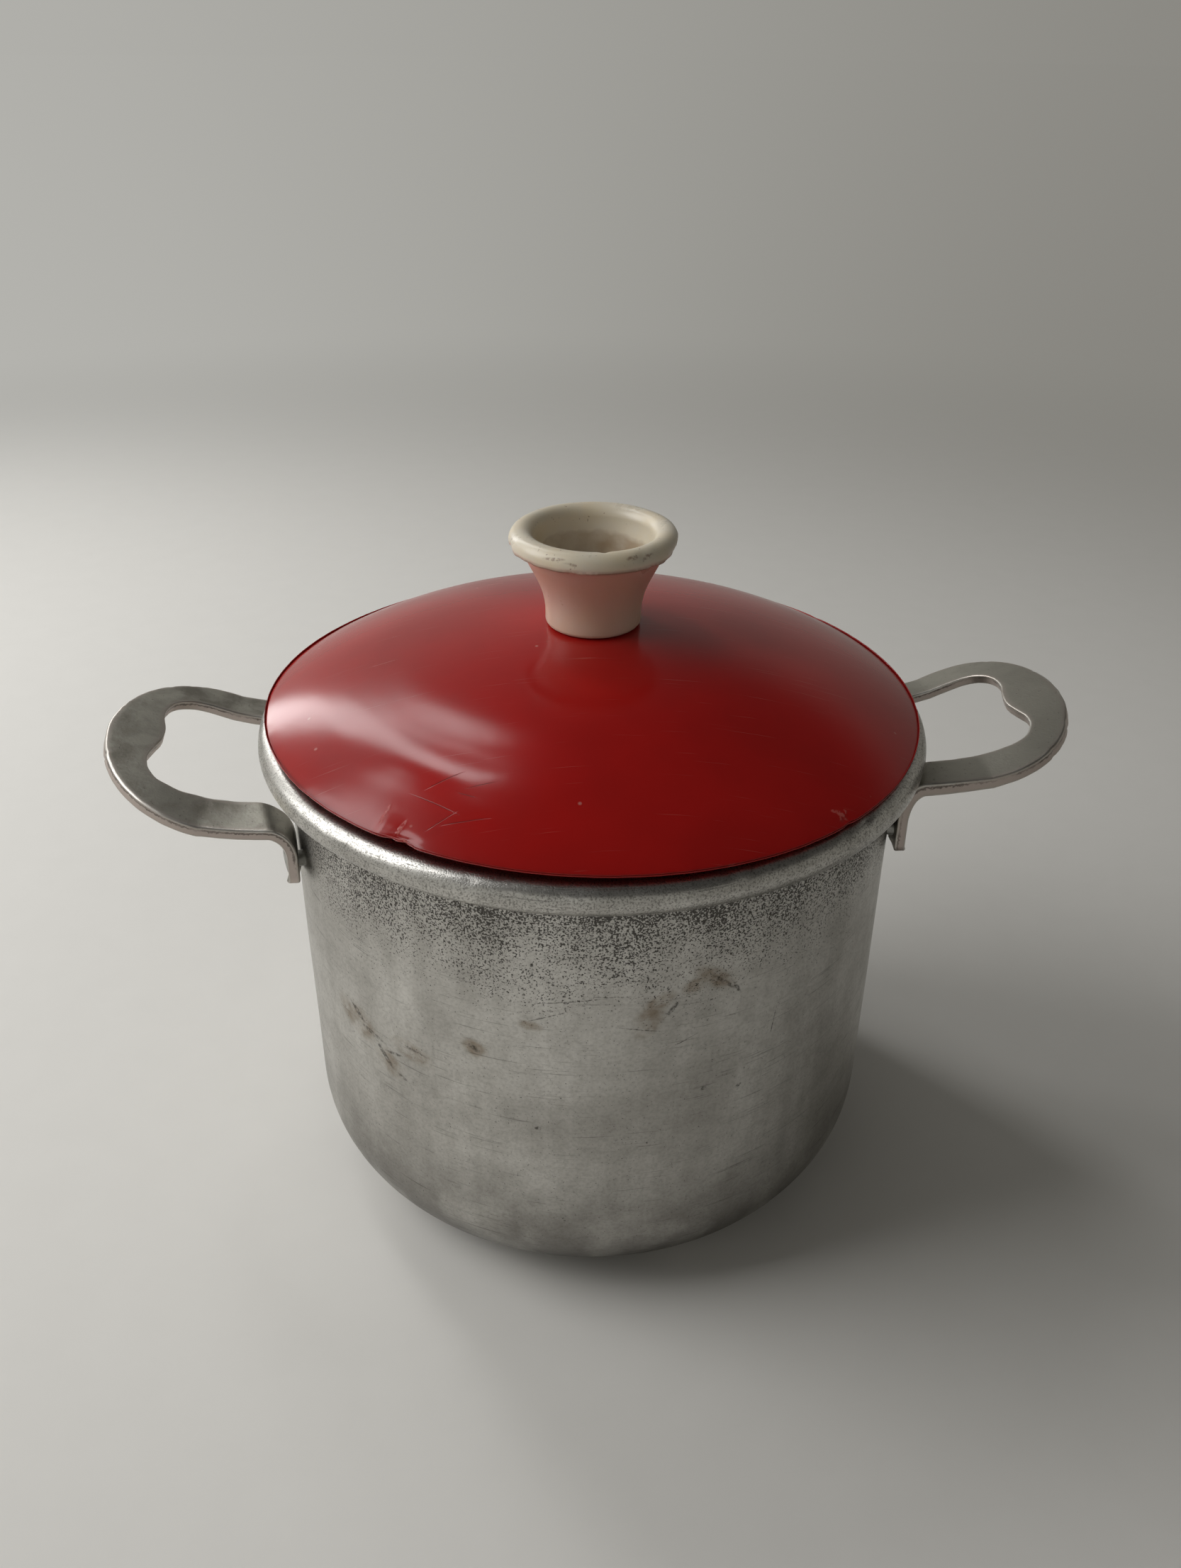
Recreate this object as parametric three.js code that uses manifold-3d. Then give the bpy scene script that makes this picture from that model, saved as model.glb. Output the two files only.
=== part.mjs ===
import * as THREE from 'three';
import { mergeVertices } from 'three/addons/utils/BufferGeometryUtils.js';
import Module from 'manifold-3d';

// A toy aluminium cooking pot with two sheet handles and a loose plastic lid with a cup-shaped knob.
// Millimetres. The pot stands on z = 0, its axis is Z, and its handles lie along X.

// Drawn pot
const POT_DIAMETER = 70; // outside of the straight wall
const POT_HEIGHT = 60.4; // table to the top of the rolled rim
const POT_SHEET = 0.7; // thickness of the drawn sheet
const FOOT_RADIUS = 12.5; // outside radius of the rounded foot
const CURL_RADIUS = 1.8; // outside radius of the rolled rim
const CURL_TURN = 285; // degrees through which the free edge is rolled outward

// Stamped handles
const HANDLE_SHEET = 1.2; // thickness of the stamped sheet
const HANDLE_BELOW_CURL = 2.1; // from the underside of the curl down to the level part of the legs
const HANDLE_UNEVEN = 0.6; // the left handle sits this much lower than middle, the right one higher
const HANDLE_OUT = 20; // wall to the outer end of the loop
const HANDLE_HALF_WIDTH = 15.2; // centre line to the outside of a leg
const LEG_WIDTH = 5.4; // strip width at the legs
const LEG_LENGTH = 8; // wall to where the loop starts to turn
const HOLE_OUT = 15.4; // wall to the outer corners of the pierced hole
const HOLE_SQUARENESS = 3.2; // exponent of the hole's rounded outline
const THUMB_BUMP = 1.3; // how far the middle of the loop bulges into the hole
const THUMB_SPREAD = 4; // half width of that bulge
const RISE_SLOPE = 0.385; // upward slope of the loop, from its level root to its outer end
const RISE_START = 6; // wall to the middle of the upward bend
const RISE_EASE = 2; // softness of the upward bend
const EDGE_DROP = 0.5; // the strip's outer edge lies this much lower than its inner edge
const EDGE_BREAK = 0.22; // rounding of the sheared edges
const BEND_RADIUS = 3; // inside radius of the bend from leg to tab
const TAB_DROP = 7.9; // top of the level legs down to the ends of the tabs
const TAB_ROUNDING = 1.2; // corner radius at the ends of the tabs

// Rivets that hold the handles
const RIVET_RADIUS = 0.9;
const RIVET_HEAD_RADIUS = 1.8;
const RIVET_HEAD_HEIGHT = 0.7;
const RIVET_HEAD_RIM = 0.25; // straight side of the head below its crown
const RIVET_TAIL_RADIUS = 1.5; // peened tail in the countersunk tab
const RIVET_TAIL_DEPTH = 0.6;
const RIVET_PROUD = 0.1; // tail beyond the tab's outer face
const RIVET_INSET = 2.1; // end of the tab to the rivet's centre

// Moulded lid
const LID_OVERHANG = 0.7; // lid edge beyond the crown of the curl
const LID_EDGE = 0.5; // thickness of the lid at its edge
const LID_EDGE_BREAK = 0.16; // small chamfer under that edge
const DOME_RISE = 9.3; // edge to apex
const DOME_FULLNESS = 2.2; // exponent of the dome's outline
const LID_WALL = 1.5; // moulded wall
const RING_LENGTH = 3; // locating ring below the lid's seat
const RING_WALL = 1.4;
const RING_PLAY = 0.7; // pot's mouth to the outside of the ring
const RING_LEAD = 0.35; // chamfer that guides the ring into the mouth

// Moulded knob
const KNOB_HEIGHT = 10.6;
const KNOB_BASE_RADIUS = 5.3;
const KNOB_BASE_ROUNDING = 0.6;
const KNOB_STEM = 1.2; // straight stem above the seat
const KNOB_DRAFT = 0.14; // how little the stem widens before it flares
const KNOB_WAIST = 4.1; // height to which the stem stays slim
const KNOB_LIP_RADIUS = 9.3;
const KNOB_BEAD = 1.4; // half thickness of the rounded lip
const KNOB_FLARE = 5.1; // height from which the flare heads for the lip
const KNOB_FLARE_INSET = 0.9; // how far that point lies inside the lip's centre line
const KNOB_UNDERCUT = 75; // degrees below level at which the flare meets the lip
const KNOB_WALL = 1.8;
const KNOB_FLOOR = 3;
const KNOB_CUP_ROUNDING = 1.4; // between the cup's side and its floor
const KNOB_CUP_TAPER = 0.35; // how far the cup narrows by half its depth

// Rivet and washer that hold the knob
const PIN_RADIUS = 1.4;
const PIN_HEAD_RADIUS = 2.6;
const PIN_HEAD_HEIGHT = 1.3;
const PIN_HEAD_RIM = 0.5; // straight side of the head below its crown
const PIN_TAIL_RADIUS = 2.2;
const PIN_TAIL_HEIGHT = 0.9;
const PIN_TAIL_RIM = 0.45;
const WASHER_RADIUS = 4;
const WASHER_SHEET = 0.8;

// Clearances
const SEAT_GAP = 0.3; // between a piece and what it rests on
const HOLE_GAP = 0.25; // around a rivet in its hole

// Facets
const ROUND_POT = 64;
const ROUND_KNOB = 36;
const ROUND_RIVET = 16;
const FOOT_STEPS = 7;
const CURL_STEPS = 12;
const TAB_END_STEPS = 4;
const BEND_STEPS = 7;
const LEG_STEPS = 4;
const LOOP_STEPS = 12;
const CROWN_STEPS = 2;
const DOME_STEPS = 11;
const HOLLOW_STEPS = 8;
const KNOB_BASE_STEPS = 3;
const KNOB_FLARE_STEPS = 8;
const KNOB_BEAD_STEPS = 9;
const KNOB_CUP_STEPS = 5;
const MERGE_DISTANCE = 1e-4;

// Sizes that follow from those above
const wallRadius = POT_DIAMETER / 2;
const boreRadius = wallRadius - POT_SHEET;
const curlCentreRadius = boreRadius + CURL_RADIUS;
const curlCentreZ = POT_HEIGHT - CURL_RADIUS;
const legTopZ = POT_HEIGHT - 2 * CURL_RADIUS - HANDLE_BELOW_CURL;
const tabEndZ = legTopZ - TAB_DROP;
const legMiddle = HANDLE_HALF_WIDTH - LEG_WIDTH / 2;
const rivetAngle = Math.asin(legMiddle / wallRadius);
const rivetZ = tabEndZ + RIVET_INSET;
const tabDepth = SEAT_GAP + HANDLE_SHEET;
const tabFaceRadius = tabDepth * Math.cos(rivetAngle)
  + Math.sqrt(wallRadius ** 2 - (tabDepth * Math.sin(rivetAngle)) ** 2);
const lidRadius = curlCentreRadius + LID_OVERHANG;
const lidSeatZ = POT_HEIGHT + SEAT_GAP;
const ringRadius = boreRadius - RING_PLAY;
const apexZ = lidSeatZ + LID_EDGE + DOME_RISE;
const pinHoleRadius = PIN_RADIUS + HOLE_GAP;
const knobZ = apexZ + SEAT_GAP;

const { Manifold, Mesh: ManifoldMesh } = await loadManifold();

async function loadManifold() {
  const library = await Module();
  library.setup();
  return library;
}

// Shape helpers

function degrees(angle) {
  return (angle * Math.PI) / 180;
}

function arc(centreR, centreZ, radius, from, to, steps) {
  const points = [];
  for (let i = 0; i <= steps; i += 1) {
    const angle = degrees(from + ((to - from) * i) / steps);
    const r = centreR + radius * Math.cos(angle);
    points.push(new THREE.Vector2(Math.max(r, 0), centreZ + radius * Math.sin(angle)));
  }
  return points;
}

function vector(r, z) {
  return new THREE.Vector2(r, z);
}

// Crown of a rivet head: a quarter ellipse from the axis out to the rim.
function crown(rimR, rimZ, rise) {
  const points = [];
  for (let i = 0; i <= CROWN_STEPS; i += 1) {
    const angle = (Math.PI / 2) * (i / CROWN_STEPS);
    points.push(vector(rimR * Math.sin(angle), rimZ + rise * Math.cos(angle)));
  }
  return points;
}

// A closed, outward-facing solid: shared corners, no empty facets.
function closedSolid(geometry) {
  geometry.deleteAttribute('normal');
  geometry.deleteAttribute('uv');
  const merged = mergeVertices(geometry, MERGE_DISTANCE);
  const position = merged.getAttribute('position');
  const index = merged.getIndex().array;
  const kept = [];
  const a = new THREE.Vector3();
  const b = new THREE.Vector3();
  const c = new THREE.Vector3();
  let volume = 0;
  for (let i = 0; i < index.length; i += 3) {
    const [p, q, r] = [index[i], index[i + 1], index[i + 2]];
    if (p !== q && q !== r && r !== p) {
      kept.push(p, q, r);
      a.fromBufferAttribute(position, p);
      b.fromBufferAttribute(position, q);
      c.fromBufferAttribute(position, r);
      volume += a.dot(b.cross(c));
    }
  }
  if (volume < 0) {
    kept.reverse();
  }
  merged.setIndex(kept);
  return merged;
}

function toManifold(geometry) {
  return new Manifold(new ManifoldMesh({
    numProp: 3,
    vertProperties: new Float32Array(geometry.getAttribute('position').array),
    triVerts: new Uint32Array(geometry.getIndex().array),
  }));
}

function fromManifold(body) {
  const result = body.getMesh();
  const geometry = new THREE.BufferGeometry();
  geometry.setAttribute('position', new THREE.BufferAttribute(result.vertProperties, 3));
  geometry.setIndex(new THREE.BufferAttribute(result.triVerts, 1));
  return geometry;
}

function cut(geometry, tools) {
  let body = toManifold(geometry);
  for (const tool of tools) {
    body = body.subtract(toManifold(tool));
  }
  return fromManifold(body);
}

// Turns a profile of radius and height about Z.
function revolve(points, facets) {
  const geometry = new THREE.LatheGeometry(points, facets);
  geometry.rotateX(Math.PI / 2);
  return closedSolid(geometry);
}

function revolveClosed(points, facets) {
  return revolve([...points, points[0].clone()], facets);
}

// Joins rings of points, one after another, and closes both ends.
function loft(rings) {
  const count = rings[0].length;
  const positions = [];
  const index = [];
  for (const ring of rings) {
    for (const point of ring) {
      positions.push(point.x, point.y, point.z);
    }
  }
  for (let i = 0; i + 1 < rings.length; i += 1) {
    for (let j = 0; j < count; j += 1) {
      const next = (j + 1) % count;
      const [a, b] = [i * count + j, i * count + next];
      const [c, d] = [a + count, b + count];
      index.push(a, b, d, a, d, c);
    }
  }
  const last = (rings.length - 1) * count;
  for (let j = 1; j + 1 < count; j += 1) {
    index.push(0, j + 1, j);
    index.push(last, last + j, last + j + 1);
  }
  const geometry = new THREE.BufferGeometry();
  geometry.setAttribute('position', new THREE.Float32BufferAttribute(positions, 3));
  geometry.setIndex(index);
  return closedSolid(geometry);
}

// Pot: flat base, rounded foot, straight wall, and a rim whose sheet is rolled outward and under

function potProfile() {
  const footR = wallRadius - FOOT_RADIUS;
  const innerFoot = FOOT_RADIUS - POT_SHEET;
  const curlEnd = 180 - CURL_TURN;
  return [
    vector(0, 0),
    ...arc(footR, FOOT_RADIUS, FOOT_RADIUS, -90, 0, FOOT_STEPS),
    ...arc(curlCentreRadius, curlCentreZ, CURL_RADIUS - POT_SHEET, 180, curlEnd, CURL_STEPS),
    ...arc(curlCentreRadius, curlCentreZ, CURL_RADIUS, curlEnd, 180, CURL_STEPS),
    ...arc(footR, FOOT_RADIUS, innerFoot, 0, -90, FOOT_STEPS),
    vector(0, POT_SHEET),
  ];
}

// Handle: one strip of sheet from tab to tab, round the loop

const bendMiddle = BEND_RADIUS + HANDLE_SHEET / 2;
const tabX = wallRadius + SEAT_GAP + HANDLE_SHEET / 2;
const bendX = tabX + bendMiddle;
const legZ = legTopZ - HANDLE_SHEET / 2;
const loopX = wallRadius + LEG_LENGTH;

function sagitta(y) {
  return wallRadius - Math.sqrt(wallRadius ** 2 - y ** 2);
}

function softRise(x) {
  const u = x - wallRadius - RISE_START;
  return (RISE_SLOPE * (u + Math.hypot(u, RISE_EASE))) / 2;
}

function softSlope(x) {
  const u = x - wallRadius - RISE_START;
  return (RISE_SLOPE * (1 + u / Math.hypot(u, RISE_EASE))) / 2;
}

function plateZ(x) {
  return legZ + softRise(x) - softRise(bendX);
}

function plateNormal(x) {
  return new THREE.Vector3(-softSlope(x), 0, 1).normalize();
}

// The strip's cross-section between its inner and outer edge, with broken edges.
function stripRing(inner, outer, normal) {
  const across = outer.clone().sub(inner);
  const width = across.length();
  const part = EDGE_BREAK / width;
  const half = HANDLE_SHEET / 2;
  const low = half - EDGE_BREAK;
  const section = [
    [part, half], [1 - part, half], [1, low], [1, -low],
    [1 - part, -half], [part, -half], [0, -low], [0, low],
  ];
  return section.map(([u, n]) => inner.clone().addScaledVector(across, u).addScaledVector(normal, n));
}

// Rings of one half of the strip, from the end of its tab to the middle of the loop.
function halfStrip(side) {
  const rings = [];
  const innerY = HANDLE_HALF_WIDTH - LEG_WIDTH;
  const outerY = HANDLE_HALF_WIDTH;
  const toWall = new THREE.Vector3(-1, 0, 0);

  function edge(x, y, z, hug) {
    return new THREE.Vector3(x - hug * sagitta(y), side * y, z);
  }

  // Tab, rounded at its end
  for (let i = 0; i <= TAB_END_STEPS; i += 1) {
    const angle = (Math.PI / 2) * (i / TAB_END_STEPS);
    const narrower = TAB_ROUNDING * (1 - Math.sin(angle));
    const z = tabEndZ + TAB_ROUNDING * (1 - Math.cos(angle));
    rings.push(stripRing(
      edge(tabX, innerY + narrower, z, 1),
      edge(tabX, outerY - narrower, z, 1),
      toWall,
    ));
  }

  // Bend from the tab to the level leg
  for (let i = 0; i <= BEND_STEPS; i += 1) {
    const angle = (Math.PI / 2) * (i / BEND_STEPS);
    const x = bendX - bendMiddle * Math.cos(angle);
    const z = legZ - bendMiddle * (1 - Math.sin(angle));
    const normal = new THREE.Vector3(-Math.cos(angle), 0, Math.sin(angle));
    const drop = EDGE_DROP * Math.sin(angle) ** 2;
    rings.push(stripRing(
      edge(x, innerY, z, 1),
      edge(x, outerY, z, 1).addScaledVector(normal, -drop),
      normal,
    ));
  }

  // Leg, where the strip leaves the wall's curve
  for (let i = 1; i < LEG_STEPS; i += 1) {
    const share = i / LEG_STEPS;
    const x = bendX + (loopX - bendX) * share;
    const z = plateZ(x);
    rings.push(stripRing(
      edge(x, innerY, z, 1 - share),
      edge(x, outerY, z - EDGE_DROP, 1 - share),
      plateNormal(x),
    ));
  }

  // Loop: elliptical outside, squarer hole with a bulge at its middle
  const reach = HANDLE_OUT - LEG_LENGTH;
  const holeReach = HOLE_OUT - LEG_LENGTH;
  const power = 2 / HOLE_SQUARENESS;
  for (let i = 0; i <= LOOP_STEPS; i += 1) {
    const angle = (Math.PI / 2) * (i / LOOP_STEPS);
    const holeY = innerY * Math.cos(angle) ** power;
    const bulge = THUMB_BUMP * Math.exp(-((holeY / THUMB_SPREAD) ** 2));
    const holeX = loopX + holeReach * Math.sin(angle) ** power - bulge;
    const outX = loopX + reach * Math.sin(angle);
    const outY = outerY * Math.cos(angle);
    rings.push(stripRing(
      new THREE.Vector3(holeX, side * holeY, plateZ(holeX)),
      new THREE.Vector3(outX, side * outY, plateZ(outX) - EDGE_DROP),
      plateNormal((holeX + outX) / 2),
    ));
  }
  return rings;
}

function handleGeometry() {
  const front = halfStrip(-1);
  const rear = halfStrip(1).reverse().slice(1);
  const strip = loft([...front, ...rear]);
  const holes = [-rivetAngle, rivetAngle].map((angle) => {
    const tool = rivetGeometry(HOLE_GAP);
    tool.rotateY(Math.PI / 2);
    tool.rotateZ(angle);
    tool.translate(0, 0, rivetZ);
    return tool;
  });
  return cut(strip, holes);
}

// Handle rivet: low head inside the pot, shank through wall and tab, tail peened into the tab.
// Its axis is Z and its heights are distances from the pot's axis.
function rivetGeometry(extra) {
  const seat = boreRadius - SEAT_GAP;
  const tail = tabFaceRadius + RIVET_PROUD;
  return revolve([
    ...crown(RIVET_HEAD_RADIUS + extra, seat - RIVET_HEAD_RIM, RIVET_HEAD_RIM - RIVET_HEAD_HEIGHT),
    vector(RIVET_HEAD_RADIUS + extra, seat),
    vector(RIVET_RADIUS + extra, seat),
    vector(RIVET_RADIUS + extra, tabFaceRadius - RIVET_TAIL_DEPTH),
    vector(RIVET_TAIL_RADIUS + extra, tabFaceRadius),
    vector(RIVET_TAIL_RADIUS + extra, tail + extra),
    vector(0, tail + extra),
  ], ROUND_RIVET);
}

// Lid: shallow dome with a thin edge, a flat seat and a locating ring

function domeZ(r) {
  return apexZ - DOME_RISE * (r / lidRadius) ** DOME_FULLNESS;
}

function lidProfile() {
  const points = [];
  for (let i = 0; i <= DOME_STEPS; i += 1) {
    const share = Math.sin((Math.PI / 2) * (i / DOME_STEPS));
    const r = pinHoleRadius + (lidRadius - pinHoleRadius) * share;
    points.push(vector(r, domeZ(r)));
  }
  const ringInner = ringRadius - RING_WALL;
  const ringEnd = lidSeatZ - RING_LENGTH;
  points.push(
    vector(lidRadius, lidSeatZ + LID_EDGE_BREAK),
    vector(lidRadius - LID_EDGE_BREAK, lidSeatZ),
    vector(ringRadius, lidSeatZ),
    vector(ringRadius, ringEnd + RING_LEAD),
    vector(ringRadius - RING_LEAD, ringEnd),
    vector(ringInner, ringEnd),
  );
  for (let i = HOLLOW_STEPS; i >= 0; i -= 1) {
    const r = pinHoleRadius + (ringInner - pinHoleRadius) * (i / HOLLOW_STEPS);
    points.push(vector(r, domeZ(r) - LID_WALL));
  }
  return points;
}

// Knob: short stem that flares into a cup with a thick rounded lip

function knobProfile() {
  const beadR = KNOB_LIP_RADIUS - KNOB_BEAD;
  const beadZ = KNOB_HEIGHT - KNOB_BEAD;
  const bead = arc(beadR, beadZ, KNOB_BEAD, -KNOB_UNDERCUT, 180, KNOB_BEAD_STEPS);
  const outside = new THREE.CubicBezierCurve(
    vector(KNOB_BASE_RADIUS, KNOB_STEM),
    vector(KNOB_BASE_RADIUS + KNOB_DRAFT, KNOB_WAIST),
    vector(beadR - KNOB_FLARE_INSET, KNOB_FLARE),
    bead[0],
  );
  const mouthR = beadR - KNOB_BEAD;
  const floorR = KNOB_BASE_RADIUS - KNOB_WALL / 2;
  const inside = new THREE.CubicBezierCurve(
    vector(mouthR, beadZ),
    vector(mouthR - KNOB_CUP_TAPER, (beadZ + KNOB_FLOOR) / 2),
    vector(floorR, KNOB_FLOOR + KNOB_CUP_ROUNDING),
    vector(floorR - KNOB_CUP_ROUNDING / 2, KNOB_FLOOR),
  );
  const cornerR = KNOB_BASE_RADIUS - KNOB_BASE_ROUNDING;
  return [
    vector(pinHoleRadius, 0),
    ...arc(cornerR, KNOB_BASE_ROUNDING, KNOB_BASE_ROUNDING, -90, 0, KNOB_BASE_STEPS),
    ...outside.getPoints(KNOB_FLARE_STEPS),
    ...bead.slice(1),
    ...inside.getPoints(KNOB_CUP_STEPS).slice(1),
    vector(pinHoleRadius, KNOB_FLOOR),
  ];
}

// Knob rivet: pan head in the knob's cup, tail spread under the washer

const washerTop = domeZ(WASHER_RADIUS) - LID_WALL - SEAT_GAP;
const washerBottom = washerTop - WASHER_SHEET;

function pinProfile() {
  const headSeat = knobZ + KNOB_FLOOR + SEAT_GAP;
  const tailSeat = washerBottom - SEAT_GAP;
  const head = crown(PIN_HEAD_RADIUS, headSeat + PIN_HEAD_RIM, PIN_HEAD_HEIGHT - PIN_HEAD_RIM);
  return [
    ...crown(PIN_TAIL_RADIUS, tailSeat - PIN_TAIL_RIM, PIN_TAIL_RIM - PIN_TAIL_HEIGHT),
    vector(PIN_TAIL_RADIUS, tailSeat),
    vector(PIN_RADIUS, tailSeat),
    vector(PIN_RADIUS, headSeat),
    vector(PIN_HEAD_RADIUS, headSeat),
    ...head.reverse(),
  ];
}

function washerProfile() {
  return [
    vector(pinHoleRadius, washerBottom),
    vector(WASHER_RADIUS, washerBottom),
    vector(WASHER_RADIUS, washerTop),
    vector(pinHoleRadius, washerTop),
  ];
}

// Materials

function aluminium(color, roughness) {
  return new THREE.MeshStandardMaterial({ color, roughness, metalness: 1 });
}

function plastic(color, roughness) {
  return new THREE.MeshStandardMaterial({ color, roughness, metalness: 0 });
}

function mesh(name, geometry, material) {
  geometry.computeVertexNormals();
  const piece = new THREE.Mesh(geometry, material);
  piece.name = name;
  return piece;
}

// Assembly

const pot = new THREE.Group();
const handlePlaces = [
  { label: 'left', angle: Math.PI, lift: -HANDLE_UNEVEN, ends: ['rear', 'front'] },
  { label: 'right', angle: 0, lift: HANDLE_UNEVEN, ends: ['front', 'rear'] },
];

const wallHoles = [];
for (const place of handlePlaces) {
  for (const turn of [-rivetAngle, rivetAngle]) {
    const tool = rivetGeometry(HOLE_GAP);
    tool.rotateY(Math.PI / 2);
    tool.rotateZ(place.angle + turn);
    tool.translate(0, 0, rivetZ + place.lift);
    wallHoles.push(tool);
  }
}
const potShell = cut(revolve(potProfile(), ROUND_POT), wallHoles);
pot.add(mesh('pot_body', potShell, aluminium(0xb4b6b4, 0.42)));

for (const place of handlePlaces) {
  const holder = new THREE.Group();
  holder.rotation.z = place.angle;
  holder.position.z = place.lift;
  holder.add(mesh(`handle_${place.label}`, handleGeometry(), aluminium(0x8a8a84, 0.55)));
  [-rivetAngle, rivetAngle].forEach((turn, i) => {
    const spin = new THREE.Group();
    spin.rotation.z = turn;
    spin.position.z = rivetZ;
    const rivet = mesh(
      `handle_rivet_${place.label}_${place.ends[i]}`,
      rivetGeometry(0),
      aluminium(0xa4a5a2, 0.45),
    );
    rivet.rotation.y = Math.PI / 2;
    spin.add(rivet);
    holder.add(spin);
  });
  pot.add(holder);
}

const lidGroup = new THREE.Group();
lidGroup.add(mesh('lid', revolveClosed(lidProfile(), ROUND_POT), plastic(0x8e1b1a, 0.22)));
const knob = mesh('knob', revolveClosed(knobProfile(), ROUND_KNOB), plastic(0xd9c9ab, 0.4));
knob.position.z = knobZ;
lidGroup.add(knob);
lidGroup.add(mesh('knob_rivet', revolve(pinProfile(), ROUND_RIVET), aluminium(0xa4a5a2, 0.45)));
lidGroup.add(mesh('knob_washer', revolveClosed(washerProfile(), ROUND_RIVET), aluminium(0x9c9d9a, 0.5)));
pot.add(lidGroup);

export default pot;
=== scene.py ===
"""A toy cooking pot of drawn aluminium with two stamped handles and a loose red lid, finished for rendering."""

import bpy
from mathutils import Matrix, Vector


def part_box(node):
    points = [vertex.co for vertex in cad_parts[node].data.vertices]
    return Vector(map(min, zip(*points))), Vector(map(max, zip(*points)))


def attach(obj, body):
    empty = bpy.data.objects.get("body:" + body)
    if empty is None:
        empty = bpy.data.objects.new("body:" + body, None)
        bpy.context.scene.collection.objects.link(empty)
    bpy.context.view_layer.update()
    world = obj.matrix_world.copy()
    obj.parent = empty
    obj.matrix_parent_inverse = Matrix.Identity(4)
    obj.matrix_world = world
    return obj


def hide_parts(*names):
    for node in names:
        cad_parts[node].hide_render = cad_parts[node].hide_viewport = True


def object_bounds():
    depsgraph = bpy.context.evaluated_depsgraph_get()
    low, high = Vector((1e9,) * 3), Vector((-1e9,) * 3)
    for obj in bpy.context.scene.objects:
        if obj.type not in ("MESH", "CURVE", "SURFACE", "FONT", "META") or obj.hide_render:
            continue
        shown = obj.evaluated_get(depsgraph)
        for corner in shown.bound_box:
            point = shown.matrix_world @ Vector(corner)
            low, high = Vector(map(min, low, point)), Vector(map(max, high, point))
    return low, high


bl_info = {
    "name": "Toy Cooking Pot",
    "version": (1, 0, 0),
    "blender": (4, 5, 0),
    "location": "View3D > Sidebar > Toy Pot",
    "description": "Builds a worn toy cooking pot round its construction model, piece by piece",
    "category": "Add Mesh",
}

import math

import bmesh
import bpy
from bpy.props import FloatProperty, FloatVectorProperty, IntProperty, PointerProperty
from mathutils import Matrix, Vector, noise

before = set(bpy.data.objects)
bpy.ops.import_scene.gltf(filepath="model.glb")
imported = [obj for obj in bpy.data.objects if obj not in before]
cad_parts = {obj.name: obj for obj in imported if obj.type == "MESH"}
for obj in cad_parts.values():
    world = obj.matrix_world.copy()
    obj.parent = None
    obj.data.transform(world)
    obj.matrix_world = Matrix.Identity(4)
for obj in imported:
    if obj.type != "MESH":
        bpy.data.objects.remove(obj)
CAD_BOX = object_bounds()

MM = 0.001
POT_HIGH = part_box("pot_body")[1]
HANDLE_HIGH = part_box("handle_right")[1]
LID_LOW, LID_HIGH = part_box("lid")
KNOB_LOW, KNOB_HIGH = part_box("knob")
PIN_LOW, PIN_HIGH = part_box("knob_rivet")
WASHER_LOW, WASHER_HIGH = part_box("knob_washer")
PHOTO_HEIGHT = 2212
FOCAL_PIXELS = 1850
SENSOR = 36.0

# What the handles' mesh tells their finish at each point
STRIP_LAYERS = ("worn_edge", "sheared_side", "sheet_depth")
# How deep a mark's mask reaches through a piece's surface, in millimetres
WALL_SPOT_DEPTH = 3.0
LID_SPOT_DEPTH = 6.0
LIP_SPOT_DEPTH = 1.2
# Play left where a turned piece lies on another
SEAT = 0.02 * MM


def linear(code):
    """Scene-linear red, green and blue of an sRGB hex colour."""
    shares = [int(code[i:i + 2], 16) / 255 for i in (0, 2, 4)]
    return [s / 12.92 if s <= 0.04045 else ((s + 0.055) / 1.055) ** 2.4 for s in shares]


def length(name, description, default):
    return FloatProperty(name=name, description=description, default=default, unit="LENGTH", precision=5)


def rotation(name, description, degrees):
    return FloatProperty(name=name, description=description, default=math.radians(degrees), subtype="ANGLE")


def watts(name, description, default):
    return FloatProperty(name=name, description=description, default=default, unit="POWER")


def colour(name, description, code):
    return FloatVectorProperty(name=name, description=description, default=linear(code), subtype="COLOR",
                               size=3, min=0.0, max=1.0)


# Settings


class PotSettings(bpy.types.PropertyGroup):
    """Sizes and colour of the drawn pot."""

    rim_radius: length("Rim radius", "Outside of the rolled rim", POT_HIGH.y)
    height: length("Height", "Table to the top of the rim", POT_HIGH.z)
    sheet: length("Sheet", "Thickness of the drawn sheet", 0.7 * MM)
    foot: length("Foot", "Outside radius of the rounded foot", 12.5 * MM)
    curl: length("Curl", "Outside radius of the rolled edge", 1.8 * MM)
    curl_turn: rotation("Curl turn", "How far the edge is rolled outward", 285)
    dent: length("Dents", "Depth of the shallow dents in the wall", 0.15 * MM)
    nick: length("Nicks", "Depth of the nicks along the rim", 0.09 * MM)
    facets: IntProperty(name="Facets", description="Steps round the pot", default=440)
    metal: colour("Metal", "Clean satin aluminium", "D3D1CC")


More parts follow.
